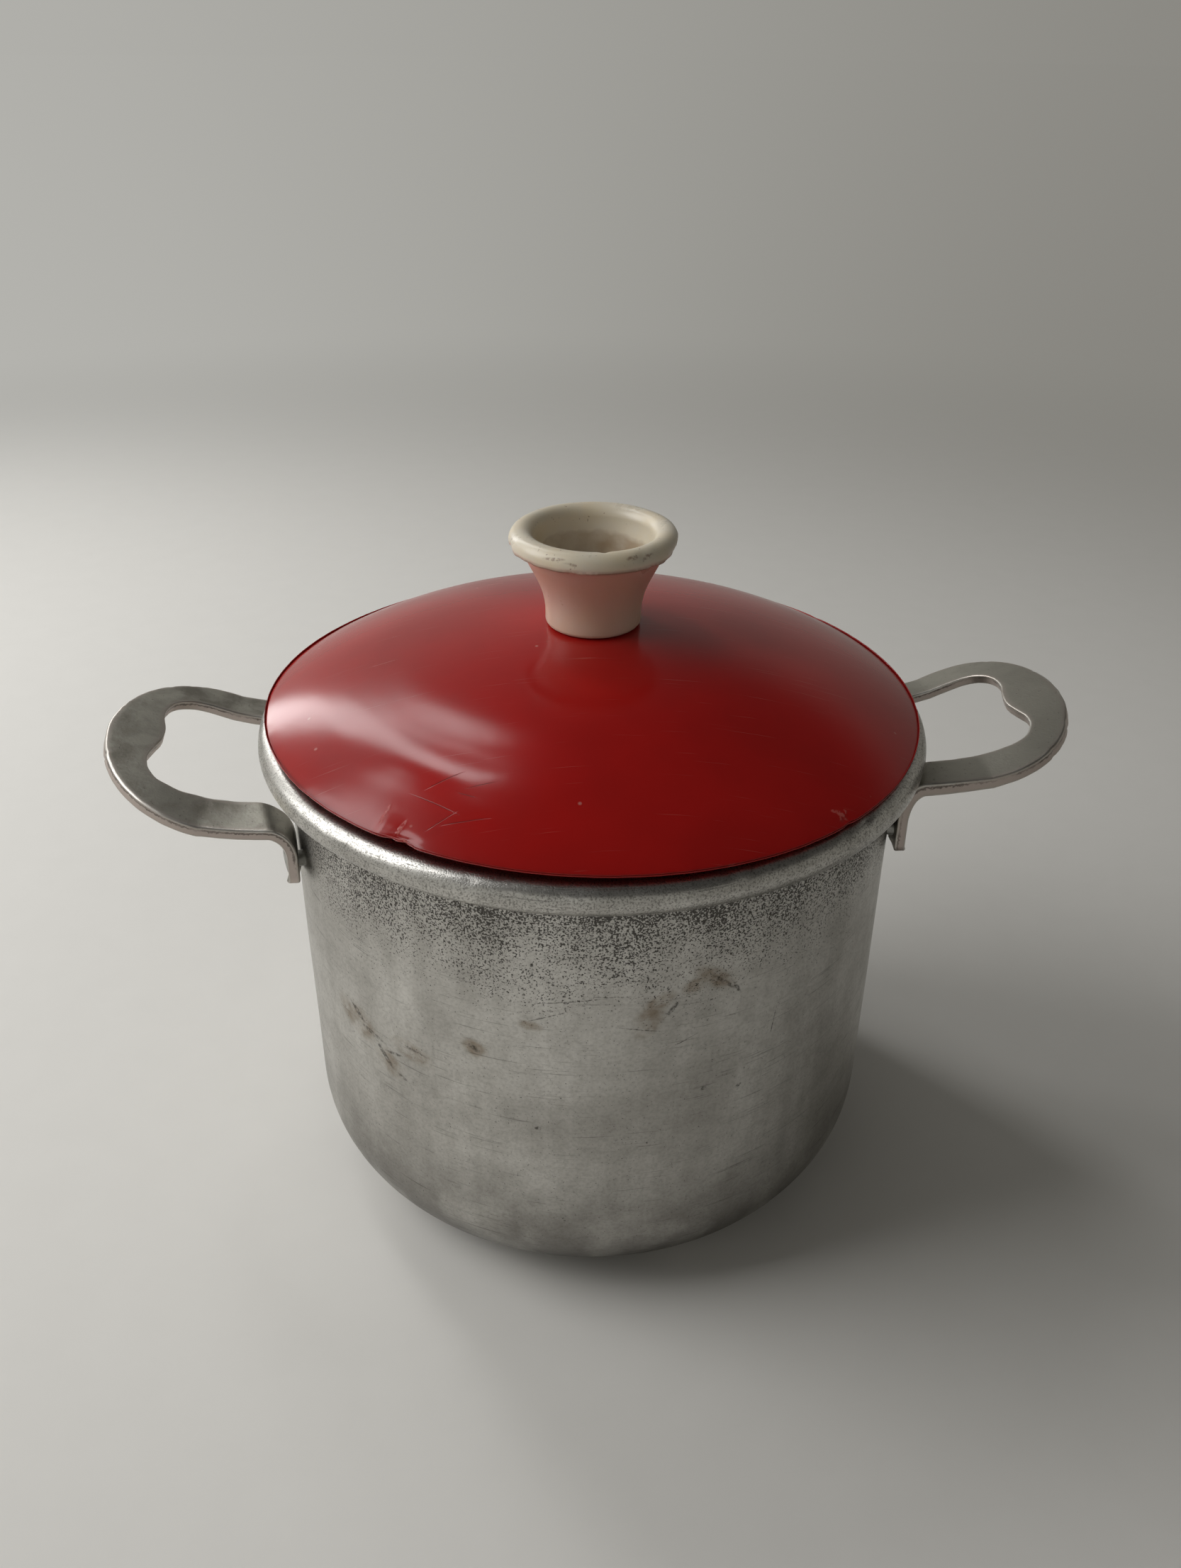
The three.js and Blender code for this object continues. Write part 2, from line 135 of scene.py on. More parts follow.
class HandleSettings(bpy.types.PropertyGroup):
    """Sizes and colour of the stamped handles."""

    sheet: length("Sheet", "Thickness of the stamped strip", 1.2 * MM)
    end: length("End", "Pot's axis to the outer end of the loop", HANDLE_HIGH.x - 0.22 * MM)
    half_width: length("Half width", "Centre line to the outside of a leg", HANDLE_HIGH.y)
    leg_width: length("Leg width", "Width of the strip at its legs", 5.4 * MM)
    leg_length: length("Leg length", "Wall to where the loop starts to turn", 8 * MM)
    hole_reach: length("Hole reach", "Wall to the outer corners of the hole", 15.4 * MM)
    hole_squareness: FloatProperty(name="Hole squareness", description="2 is an ellipse, more is squarer",
                                   default=3.2)
    bump: length("Thumb bump", "How far the loop's middle bulges into the hole", 1.3 * MM)
    bump_spread: length("Bump spread", "Half width of that bulge", 4 * MM)
    slope: FloatProperty(name="Slope", description="Upward slope of the loop", default=0.385)
    rise_start: length("Rise start", "Wall to the middle of the upward bend", 6 * MM)
    rise_ease: length("Rise ease", "Softness of the upward bend", 2 * MM)
    edge_drop: length("Edge drop", "How much lower the outer edge lies than the inner one", 0.5 * MM)
    bend: length("Bend", "Inside radius of the bend above a tab", 3 * MM)
    tab_drop: length("Tab drop", "Top of the legs down to the ends of the tabs", 7.9 * MM)
    tab_rounding: length("Tab rounding", "Corner radius of a tab", 1.2 * MM)
    seat: length("Seat", "Gap between a tab's inner edge and the wall", 0.08 * MM)
    stand_off: length("Stand-off", "How far a tab's outer edge stands away from the round wall", 1.2 * MM)
    die_roll: length("Die roll", "Rounding of the upper edges, where the punch drew the sheet in", 0.22 * MM)
    burr: length("Burr", "Rounding of the lower edges", 0.12 * MM)
    raggedness: length("Raggedness", "How far the sheared edges wander", 0.1 * MM)
    metal: colour("Metal", "Face of the handled aluminium strip", "AEABA1")
    sheared: colour("Sheared", "Side of the strip, as the press left it", "BBAFA8")


class RivetSettings(bpy.types.PropertyGroup):
    """Sizes and colour of the rivets and the washer."""

    shank: length("Shank", "Radius of a handle rivet's shank", 0.9 * MM)
    head: length("Head", "Radius of the head inside the pot", 1.8 * MM)
    head_height: length("Head height", "Crown of that head above the wall", 1.0 * MM)
    tail: length("Tail", "Radius of the peened tail", 1.5 * MM)
    tail_reach: length("Tail reach", "End of the tail outward of the wall", 1.85 * MM)
    tail_depth: length("Tail depth", "Countersink of the tail in the tab", 0.6 * MM)
    facets: IntProperty(name="Facets", description="Steps round a rivet", default=40)
    pin: length("Knob rivet", "Radius of the knob rivet's shank", 1.4 * MM)
    pin_rim: length("Knob rivet rim", "Straight side of the knob rivet's head", 0.5 * MM)
    pin_tail: length("Knob rivet tail", "Radius of the tail under the washer", 2.2 * MM)
    metal: colour("Metal", "Dull rivet stock", "A9A8A3")


class LidSettings(bpy.types.PropertyGroup):
    """Sizes and colours of the moulded lid."""

    radius: length("Radius", "Outside of the lid", LID_HIGH.y)
    apex: length("Apex", "Height of the dome's middle", LID_HIGH.z)
    rise: length("Rise", "Edge to apex", 9.3 * MM)
    fullness: FloatProperty(name="Fullness", description="Exponent of the dome's outline", default=2.2)
    edge: length("Edge", "Thickness at the edge", 0.5 * MM)
    wall: length("Wall", "Moulded wall", 1.5 * MM)
    ring: length("Ring", "Outside radius of the locating ring", 33.6 * MM)
    ring_wall: length("Ring wall", "Thickness of the locating ring", 1.4 * MM)
    hole: length("Hole", "Radius of the hole for the knob rivet", 1.65 * MM)
    ripple: length("Ripple", "Height of the folds by the front left edge", 0.4 * MM)
    warp: length("Warp", "How far the edge has sprung up at the front left", 0.8 * MM)
    roll: length("Edge roll", "How far the top falls away by the edge", 0.22 * MM)
    flake: length("Flake", "Height of the torn flap at the largest chip", 0.15 * MM)
    facets: IntProperty(name="Facets", description="Steps round the lid", default=480)
    red: colour("Red", "Moulded colour", "A01512")
    scuffed: colour("Scuffed", "Bruised plastic at chips", "C06A60")


class KnobSettings(bpy.types.PropertyGroup):
    """Sizes and colours of the moulded knob."""

    lip: length("Lip", "Outside radius of the lip", KNOB_HIGH.y)
    base: length("Base", "Radius of the stem at its seat", 5.3 * MM)
    rounding: length("Rounding", "Rounding of the base", 0.6 * MM)
    stem: length("Stem", "Height of the straight stem", 1.2 * MM)
    waist: length("Waist", "Height to which the stem stays slim", 4.1 * MM)
    draft: length("Draft", "How little the stem widens before it flares", 0.14 * MM)
    flare: length("Flare", "Height from which the flare heads for the lip", 5.1 * MM)
    flare_inset: length("Flare inset", "How far that point lies inside the lip's centre", 0.9 * MM)
    bead: length("Bead", "Half thickness of the rounded lip", 1.4 * MM)
    lip_edge: FloatProperty(name="Lip edge", description="Degrees on the bead at which its underside starts",
                            default=-22.0)
    floor: length("Floor", "Thickness of the cup's floor", 3 * MM)
    floor_radius: length("Floor radius", "Radius of the cup's floor", 4.4 * MM)
    cup_rounding: length("Cup rounding", "Between the cup's side and floor", 1.4 * MM)
    cup_taper: length("Cup taper", "How far the cup narrows by half its depth", 0.35 * MM)
    flash: length("Flash", "Height of the parting line under the lip", 0.12 * MM)
    facets: IntProperty(name="Facets", description="Steps round the knob", default=240)
    cream: colour("Cream", "Moulded colour", "CCC3B1")
    dirt: colour("Dirt", "Grime on and under the lip", "6A4634")


class StageSettings(bpy.types.PropertyGroup):
    """Camera, lamps and floor."""

    eye: FloatVectorProperty(name="Eye", description="Place of the camera", subtype="TRANSLATION", size=3,
                             default=(-9.99 * MM, -134.26 * MM, 129.49 * MM))
    pitch: rotation("Pitch", "How far the camera looks down", 30.80)
    heading: rotation("Heading", "Turn of the camera about the vertical", -4.2)
    roll: rotation("Roll", "Turn of the camera about its own axis", 0.554)
    window_power: watts("Window power", "Soft lamp at the left", 1.02)
    pane_power: watts("Pane power", "Tall narrow lamp at the left and rear", 0.38)
    fill_power: watts("Fill power", "Weak soft lamp above the front", 0.07)
    bright_side: colour("Bright side", "Light from the left-hand surround", "B5B4B0")
    dark_side: colour("Dark side", "Light from overhead and the right-hand surround", "3C3B39")
    horizon_left: colour("Horizon left", "Left end of the surround that the floor melts into", "B6B5B0")
    horizon_right: colour("Horizon right", "Right end of the surround that the floor melts into", "84827C")
    paper: colour("Paper", "Matt floor", "E3E1DC")
    melt_start: length("Melt start", "Distance from the pot where the floor begins to melt into the surround", 0.18)
    melt_end: length("Melt end", "Distance from the pot where the floor has melted into the surround", 0.5)


class ToyPotSettings(bpy.types.PropertyGroup):
    """All settings of the toy pot."""

    pot: PointerProperty(type=PotSettings)
    handle: PointerProperty(type=HandleSettings)
    rivet: PointerProperty(type=RivetSettings)
    lid: PointerProperty(type=LidSettings)
    knob: PointerProperty(type=KnobSettings)
    stage: PointerProperty(type=StageSettings)


def settings():
    return bpy.context.scene.toy_pot


def wall_radius():
    pot = settings().pot
    return pot.rim_radius - 2 * pot.curl + pot.sheet


# Node trees


def add(tree, kind, inputs=None, **details):
    """Adds a node. An input takes a value, a socket, or another node, whose first live output is linked."""
    node = tree.nodes.new(kind)
    for name, value in details.items():
        setattr(node, name, value)
    live = [socket for socket in node.inputs if socket.enabled]
    for key, value in (inputs or {}).items():
        socket = live[key] if isinstance(key, int) else next(s for s in live if s.name == key)
        if isinstance(value, bpy.types.Node):
            value = next(s for s in value.outputs if s.enabled)
        if isinstance(value, bpy.types.NodeSocket):
            tree.links.new(value, socket)
        else:
            socket.default_value = value
    return node


def times(tree, a, b):
    return add(tree, "ShaderNodeMath", {0: a, 1: b}, operation="MULTIPLY")


def minus(tree, a, b, **details):
    return add(tree, "ShaderNodeMath", {0: a, 1: b}, operation="SUBTRACT", **details)


def most(tree, a, b):
    return add(tree, "ShaderNodeMath", {0: a, 1: b}, operation="MAXIMUM")


def scaled(tree, value, factor, base):
    """The value times the factor, on top of the base."""
    return add(tree, "ShaderNodeMath", {0: value, 1: factor, 2: base}, operation="MULTIPLY_ADD")


def ramp(tree, value, start, end, low=0.0, high=1.0, smooth=False):
    """Low where the value is at start, high where it is at end, and held beyond them."""
    return add(tree, "ShaderNodeMapRange", {"Value": value, "From Min": start, "From Max": end, "To Min": low,
                                            "To Max": high}, interpolation_type="SMOOTHSTEP" if smooth else "LINEAR")


def per(size):
    """Texture scale that gives features of that many millimetres."""
    return 1 / (size * MM)


def mottling(tree, place, size, detail, **more):
    """Noise with features of that many millimetres."""
    inputs = {"Vector": place, "Scale": per(size), "Detail": detail}
    return add(tree, "ShaderNodeTexNoise", inputs | {name.capitalize(): value for name, value in more.items()})


def streaks(tree, place, sizes, detail, turn_by=(0.0, 0.0, 0.0), **more):
    """Noise stretched to features of that many millimetres along each axis."""
    stretched = add(tree, "ShaderNodeMapping", {"Vector": place, "Rotation": turn_by,
                                                "Scale": [per(size) for size in sizes]})
    return mottling(tree, stretched, 1 / MM, detail, **more)


def opaque(shade):
    """A node as it is, and a hex code or three shares as an opaque colour."""
    if isinstance(shade, bpy.types.Node):
        return shade
    return (*(linear(shade) if isinstance(shade, str) else shade), 1.0)


def paint(tree, share, under, over, strength=None):
    """Covers one colour with that share of another, lessened to the strength if one is given."""
    if strength is not None:
        share = times(tree, share, strength)
    return add(tree, "ShaderNodeMix", {"Factor": share, "A": opaque(under), "B": opaque(over)}, data_type="RGBA")


def new_tree(name, inputs, output):
    """A geometry node tree with named inputs, and its input node."""
    tree = bpy.data.node_groups.new(name, "GeometryNodeTree")
    for label, kind in inputs.items():
        tree.interface.new_socket(label, in_out="INPUT", socket_type="NodeSocket" + kind)
    tree.interface.new_socket(output, in_out="OUTPUT", socket_type="NodeSocketGeometry")
    return tree, add(tree, "NodeGroupInput").outputs


def turning_tree():
    """Turns a row of points about Z, closes the seam and the poles, and gives the piece its material."""
    tree, given = new_tree("turned_piece", {"Profile": "Geometry", "Facets": "Int", "Weld": "Float",
                                            "Finish": "Material"}, "Piece")
    count = add(tree, "GeometryNodeAttributeDomainSize", {0: given["Profile"]}, component="MESH")
    rows = add(tree, "FunctionNodeIntegerMath", {0: given["Facets"], 1: 1}, operation="ADD")
    sheet = add(tree, "GeometryNodeMeshGrid", {"Vertices X": rows, "Vertices Y": count})
    index = add(tree, "GeometryNodeInputIndex")
    row = add(tree, "FunctionNodeIntegerMath", {0: index, 1: count}, operation="DIVIDE_FLOOR")
    place = add(tree, "FunctionNodeIntegerMath", {0: index, 1: count}, operation="MODULO")
    point = add(tree, "GeometryNodeSampleIndex",
                {"Geometry": given["Profile"], "Value": add(tree, "GeometryNodeInputPosition"), "Index": place},
                data_type="FLOAT_VECTOR")
    step = add(tree, "ShaderNodeMath", {0: math.tau, 1: given["Facets"]}, operation="DIVIDE")
    angle = times(tree, step, row)
    turned = add(tree, "ShaderNodeVectorRotate", {"Vector": point, "Angle": angle}, rotation_type="Z_AXIS")
    bent = add(tree, "GeometryNodeSetPosition", {"Geometry": sheet, "Position": turned})
    closed = add(tree, "GeometryNodeMergeByDistance", {"Geometry": bent, "Distance": given["Weld"]})
    smooth = add(tree, "GeometryNodeSetShadeSmooth", {"Geometry": closed})
    real = add(tree, "GeometryNodeRealizeInstances", {"Geometry": smooth})
    finished = add(tree, "GeometryNodeSetMaterial", {"Geometry": real, "Material": given["Finish"]})
    add(tree, "NodeGroupOutput", {0: finished})
    return tree


def rivet_tree():
    """A rivet on each point, along the point's axis: domed head, shank and countersunk tail in one body."""
    tree, given = new_tree("rivets_on_points", {
        "Places": "Geometry", "Head Radius": "Float", "Head Height": "Float", "Shank Radius": "Float",
        "Length": "Float", "Tail Radius": "Float", "Tail Depth": "Float", "Facets": "Int", "Finish": "Material",
    }, "Rivets")
    ball = add(tree, "GeometryNodeMeshUVSphere", {"Segments": given["Facets"], "Rings": given["Facets"], "Radius": 1.0})
    spot = add(tree, "ShaderNodeSeparateXYZ", {0: add(tree, "GeometryNodeInputPosition")}).outputs
    wide_x = times(tree, spot["X"], given["Head Radius"])
    wide_y = times(tree, spot["Y"], given["Head Radius"])
    above = add(tree, "ShaderNodeMath", {0: spot["Z"], 1: 0.0}, operation="MINIMUM")
    tall = times(tree, above, given["Head Height"])
    crown = add(tree, "ShaderNodeCombineXYZ", {0: wide_x, 1: wide_y, 2: tall})
    head = add(tree, "GeometryNodeSetPosition", {"Geometry": ball, "Position": crown})
    shank = add(tree, "GeometryNodeMeshCylinder", {"Vertices": given["Facets"], "Radius": given["Shank Radius"],
                                                   "Depth": given["Length"]}, fill_type="NGON")
    middle = times(tree, given["Length"], 0.5)
    lift = add(tree, "ShaderNodeCombineXYZ", {2: middle})
    lifted = add(tree, "GeometryNodeTransform", {"Geometry": shank, "Translation": lift})
    tail = add(tree, "GeometryNodeMeshCone", {
        "Vertices": given["Facets"], "Radius Top": given["Tail Radius"], "Radius Bottom": given["Shank Radius"],
        "Depth": given["Tail Depth"]}, fill_type="NGON")
    start = minus(tree, given["Length"], given["Tail Depth"])
    far = add(tree, "ShaderNodeCombineXYZ", {2: start})
    placed = add(tree, "GeometryNodeTransform", {"Geometry": tail, "Translation": far})
    body = add(tree, "GeometryNodeMeshBoolean", operation="UNION", solver="EXACT")
    for shape in (head, lifted, placed):
        tree.links.new(shape.outputs[0], body.inputs["Mesh 2"])
    axis = add(tree, "GeometryNodeInputNamedAttribute", {"Name": "axis"}, data_type="FLOAT_VECTOR")
    aim = add(tree, "FunctionNodeAlignRotationToVector", {"Vector": axis}, axis="Z")
    copies = add(tree, "GeometryNodeInstanceOnPoints",
                 {"Points": given["Places"], "Instance": body, "Rotation": aim})
    real = add(tree, "GeometryNodeRealizeInstances", {"Geometry": copies})
    finished = add(tree, "GeometryNodeSetMaterial", {"Geometry": real, "Material": given["Finish"]})
    add(tree, "NodeGroupOutput", {0: finished})
    return tree


# Mesh helpers


def new_object(name, mesh):
    piece = bpy.data.objects.new(name, mesh)
    bpy.context.scene.collection.objects.link(piece)
    return piece


def grow(piece, tree, values):
    """Runs a node tree on the piece, and keeps the result as a plain mesh."""
    modifier = piece.modifiers.new(tree.name, "NODES")
    modifier.node_group = tree
    for name, value in values.items():
        modifier[tree.interface.items_tree[name].identifier] = value
    bpy.context.view_layer.update()
    ready = piece.evaluated_get(bpy.context.evaluated_depsgraph_get())
    seed = piece.data
    grown = bpy.data.meshes.new_from_object(ready)
    piece.modifiers.clear()
    piece.data = grown
    bpy.data.meshes.remove(seed)
    grown.name = piece.name


def close_outward(mesh):
    """Points every face outward, and raises an error if the mesh has an open edge."""
    work = bmesh.new()
    work.from_mesh(mesh)
    bmesh.ops.recalc_face_normals(work, faces=work.faces)
    gaps = sum(1 for edge in work.edges if len(edge.link_faces) != 2)
    work.to_mesh(mesh)
    work.free()
    if gaps:
        raise RuntimeError(f"{mesh.name} has {gaps} open edges")


def turn(name, profile, facets, finish):
    """A closed piece turned from (radius, height) points."""
    seed = bpy.data.meshes.new(name)
    seed.from_pydata([(r, 0.0, z) for r, z in profile], [], [])
    piece = new_object(name, seed)
    grow(piece, turning_tree(), {"Facets": facets, "Weld": 0.002 * MM, "Finish": finish})
    close_outward(piece.data)
    return piece


def shift(mesh, move):
    """Moves each vertex by move(place, normal)."""
    normals = [Vector(normal.vector) for normal in mesh.vertex_normals]
    for vertex, normal in zip(mesh.vertices, normals):
        vertex.co += move(vertex.co.copy(), normal)
    mesh.update()


def settle(piece, body, slot, *nodes):
    """Joins a finished piece to its body, in place of the construction nodes it stands for."""
    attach(piece, body)
    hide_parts(*nodes)


def arc(centre, radius, start, end, steps):
    """Points of a circular arc round (radius, height), with angles in degrees."""
    points = []
    for i in range(steps + 1):
        angle = math.radians(start + (end - start) * i / steps)
        points.append((centre[0] + radius * math.cos(angle), centre[1] + radius * math.sin(angle)))
    return points


def line(start, end, steps):
    """Points between two places, without those places."""
    return [tuple(a + (b - a) * i / steps for a, b in zip(start, end)) for i in range(1, steps)]


def bezier(a, b, c, d, steps):
    """Points of a cubic curve, with its ends."""
    points = []
    for i in range(steps + 1):
        t = i / steps
        u = 1 - t
        weights = (u ** 3, 3 * u * u * t, 3 * u * t * t, t ** 3)
        points.append(tuple(sum(w * p[k] for w, p in zip(weights, (a, b, c, d))) for k in (0, 1)))
    return points


def ease(value, low, high):
    """Smooth step from 0 at low to 1 at high."""
    share = min(max((value - low) / (high - low), 0.0), 1.0)
    return share * share * (3 - 2 * share)


def rough(place, size, layer=0.0):
    """Smooth noise from -1 to 1 with features of that size; another layer is another pattern."""
    return noise.noise(place / size + Vector((layer, -layer, 2 * layer)))


def bearing(place):
    """Degrees round the axis, 0 along +X and -90 towards the viewer."""
    return math.degrees(math.atan2(place.y, place.x))


def arc_from(place, degrees):
    """Distance round the axis from a bearing."""
    turn_by = math.radians(bearing(place) - degrees)
    turn_by = math.atan2(math.sin(turn_by), math.cos(turn_by))
    return turn_by * math.hypot(place.x, place.y)


# Finishes


def start_material(name, constants):
    """A material with a principled shader, its node tree, and the object's own coordinates."""
    material = bpy.data.materials.new(name)
    material.use_nodes = True
    tree = material.node_tree
    tree.nodes.clear()
    shader = add(tree, "ShaderNodeBsdfPrincipled", constants)
    add(tree, "ShaderNodeOutputMaterial", {"Surface": shader})
    return material, tree, shader, add(tree, "ShaderNodeTexCoord").outputs["Object"]


def feed(tree, shader, **sockets):
    """Links the shader's inputs, which are named with underscores for spaces."""
    for name, node in sockets.items():
        output = next(s for s in node.outputs if s.enabled)
        tree.links.new(output, shader.inputs[name.replace("_", " ")])


def coat(tree, shader, shade, gloss, relief, strength, depth):
    """Feeds a shader its colour and roughness, and relief of that depth in millimetres."""
    bump = add(tree, "ShaderNodeBump", {"Strength": strength, "Distance": depth * MM, "Height": relief})
    feed(tree, shader, Base_Color=shade, Roughness=gloss, Normal=bump)


def on_section(tree, place):
    """Height of a place, and its distance from the axis."""
    height = add(tree, "ShaderNodeSeparateXYZ", {0: place}).outputs["Z"]
    flat = add(tree, "ShaderNodeVectorMath", {0: place, 1: (1.0, 1.0, 0.0)}, operation="MULTIPLY")
    return height, add(tree, "ShaderNodeVectorMath", {0: flat}, operation="LENGTH").outputs["Value"]


def blotch(tree, place, spots):
    """Mask of soft-edged ellipsoid spots: each is a centre, a turn, and half sizes along its own axes."""
    mask = None
    for centre, turn_by, half_sizes in spots:
        local = add(tree, "ShaderNodeMapping", {"Vector": place, "Location": centre, "Rotation": turn_by,
                                                "Scale": half_sizes}, vector_type="TEXTURE")
        far = add(tree, "ShaderNodeVectorMath", {0: local}, operation="LENGTH")
        spot = ramp(tree, far.outputs["Value"], 1.0, 0.55)
        mask = spot if mask is None else most(tree, mask, spot)
    return mask


def facing_spot(degrees, tilt):
    """The way out from the axis at a bearing, and the turn of a spot there whose long side is tilted from level."""
    angle = math.radians(degrees)
    out = Vector((math.cos(angle), math.sin(angle), 0.0))
    along = Matrix.Rotation(math.radians(tilt), 3, out) @ Vector((-out.y, out.x, 0.0))
    return out, Matrix((along, out.cross(along), out)).transposed().to_euler()


def wall_spot(degrees, height, long, wide, tilt):
    """A spot on the pot's wall; sizes in millimetres."""
    out, turn_by = facing_spot(degrees, tilt)
    centre = out * wall_radius() + Vector((0.0, 0.0, height * MM))
    return centre, turn_by, Vector((long, wide, WALL_SPOT_DEPTH)) * MM / 2


# Marks on the wall, as degrees round the pot, height, length and width in millimetres, and tilt in degrees
WALL_SCRATCHES = (
    (-134, 30.6, 4.4, 0.8, -48),
    (-137, 32.6, 4.6, 0.7, -8),
    (-129.5, 28.7, 2.2, 0.5, -20),
    (-141, 34.2, 3.6, 0.9, -35),
    (-131.5, 31.6, 3.0, 0.5, 12),
    (-126.5, 33.6, 4.0, 0.4, -6),
    (-80.5, 43.4, 2.6, 0.6, 55),
    (-69, 44.4, 2.2, 0.5, -60),
    (-114, 37.1, 1.6, 0.9, -30),
    (-71.5, 45.6, 4.2, 0.6, -42),
    (-97, 45.0, 9.0, 0.16, 8),
    (-91, 45.6, 5.0, 0.14, -2),
    (-101, 42.9, 7.0, 0.16, 22),
    (-60.6, 38.0, 5.0, 0.18, 82),
    (-86, 41.2, 6.0, 0.14, -12),
    (-78, 39.0, 4.0, 0.14, 25),
    (-74, 31.8, 0.8, 0.7, 0),
    (-67, 30.7, 0.9, 0.6, 30),
    (-103, 27.5, 0.9, 0.6, 0),
)
WALL_STAINS = (
    (-84.5, 42.2, 5.4, 3.4, 62),
    (-82.5, 44.6, 4.0, 2.2, 30),
    (-73, 46.4, 6.4, 2.6, -34),
    (-76.5, 46.0, 3.6, 2.2, 20),
    (-141, 33.0, 9.0, 5.0, -12),
    (-133, 30.0, 5.4, 3.6, -45),
    (-127, 33.2, 7.0, 3.0, -8),
    (-114, 37.1, 3.6, 2.6, -20),
    (-104, 41.5, 3.0, 1.4, -10),
)


def drawn_aluminium():
    """Deep-drawn aluminium, buffed in a lathe and long used.

    The eye sees soft satin reflections, faint rings and hair scratches, dense dark pits that thin out below the
    rim, grey smudges, a few deeper scratches and brown stains, patchy grime and painted shade at the foot, and a rim
    chafed in small flecks.
    """
    pot = settings().pot
    material, tree, shader, place = start_material("aluminium_deep_drawn_satin", {"Metallic": 1.0})
    height, radius = on_section(tree, place)
    outside = ramp(tree, radius, wall_radius() - 0.5 * MM, wall_radius() - 0.3 * MM)
    curl_low = pot.height - 2 * pot.curl
    rim = ramp(tree, height, curl_low - 0.1 * MM, curl_low + 0.5 * MM)

    # Pits of about 0.2 mm, crowded under the rim and thinning out to a ragged lower limit
    speck = mottling(tree, place, 0.2, 2.0, roughness=0.6)
    patch = mottling(tree, place, 8.0, 4.0)
    below = ramp(tree, height, curl_low, curl_low - 22 * MM)
    ragged = scaled(tree, patch, 0.8, below)
    limit = ramp(tree, ragged, 0.35, 1.1, 0.425, 0.69)
    over = minus(tree, speck, limit)
    hollow = ramp(tree, over, 0.0, 0.035)
    on_wall = minus(tree, outside, rim, use_clamp=True)
    pits = times(tree, hollow, on_wall)

    # Soft clouds of two centimetres, streaks drawn up the wall, lathe rings, hair scratches, and a fine grain
    cloud = mottling(tree, place, 19.0, 3.0, roughness=0.55, distortion=0.6)
    smudge = ramp(tree, cloud, 0.4, 0.66)
    streak = streaks(tree, place, (2.6, 2.6, 60.0), 3.0)
    ring = streaks(tree, place, (30.0, 30.0, 0.3), 2.0)
    hairs = streaks(tree, place, (7.0, 7.0, 0.2), 2.0, turn_by=(0.0, 0.12, 0.0), distortion=0.2)
    hair = ramp(tree, hairs, 0.63, 0.72, high=0.4)
    grain = mottling(tree, place, 0.4, 3.0, roughness=0.6)
    mottle = mottling(tree, place, 2.4, 4.0, roughness=0.6)

    # Marks, broken up by the grain, and stains, broken up by the mottle
    broken = ramp(tree, grain, 0.34, 0.6, high=0.8)
    scratched = blotch(tree, place, [wall_spot(*mark) for mark in WALL_SCRATCHES])
    scratch = times(tree, scratched, broken)
    cloudy = ramp(tree, mottle, 0.3, 0.62)
    stained = blotch(tree, place, [wall_spot(*mark) for mark in WALL_STAINS])
    stain = times(tree, stained, cloudy)

    # Colour, from clean metal to the darkest marks
    tint = ramp(tree, streak, 0.35, 0.7, high=0.3)
    drawn = paint(tree, tint, pot.metal, "9C9A93")
    dull = paint(tree, smudge, drawn, "85817A", strength=0.38)
    grey = ramp(tree, mottle, 0.42, 0.7, high=0.22)
    mottled = paint(tree, grey, dull, "7A756E")
    fine = ramp(tree, grain, 0.42, 0.68, high=0.24)
    grained = paint(tree, fine, mottled, "6E6B66")
    # Darker towards the foot (4C4740): patchy grime, and painted shade for the shadowed floor that the lower wall
    # mirrors
    low = ramp(tree, height, 22 * MM, 3 * MM)
    grime_and_shade = ramp(tree, patch, 0.34, 0.56, 0.32, 0.95)
    foot = times(tree, low, grime_and_shade)
    darkened = paint(tree, foot, grained, "4C4740")
    tan = paint(tree, stain, darkened, "77603F", strength=0.58)
    flecked = ramp(tree, speck, 0.5, 0.62, high=0.55)
    fleck = times(tree, rim, flecked)
    rubbed = paint(tree, fleck, tan, "5E5B56")
    lined = most(tree, scratch, hair)
    dark = most(tree, pits, lined)
    surface = paint(tree, dark, rubbed, "34302C", strength=0.82)

    # Gloss: a satin wall, duller where marked, and a rim that glints between its flecks
    satin = ramp(tree, cloud, 0.3, 0.75, 0.34, 0.46)
    marked = scaled(tree, dark, 0.25, satin)
    polish = scaled(tree, rim, -0.08, marked)
    glint = scaled(tree, fleck, 0.18, polish)

    # Relief: rings, grain, flecks and pits, up to 0.05 mm
    lathe = times(tree, ring, 0.25)
    tooth = scaled(tree, grain, 0.3, lathe)
    chafed = scaled(tree, fleck, -0.5, tooth)
    relief = scaled(tree, dark, -0.9, chafed)
    coat(tree, shader, surface, glint, relief, strength=0.5, depth=0.05)
    return material


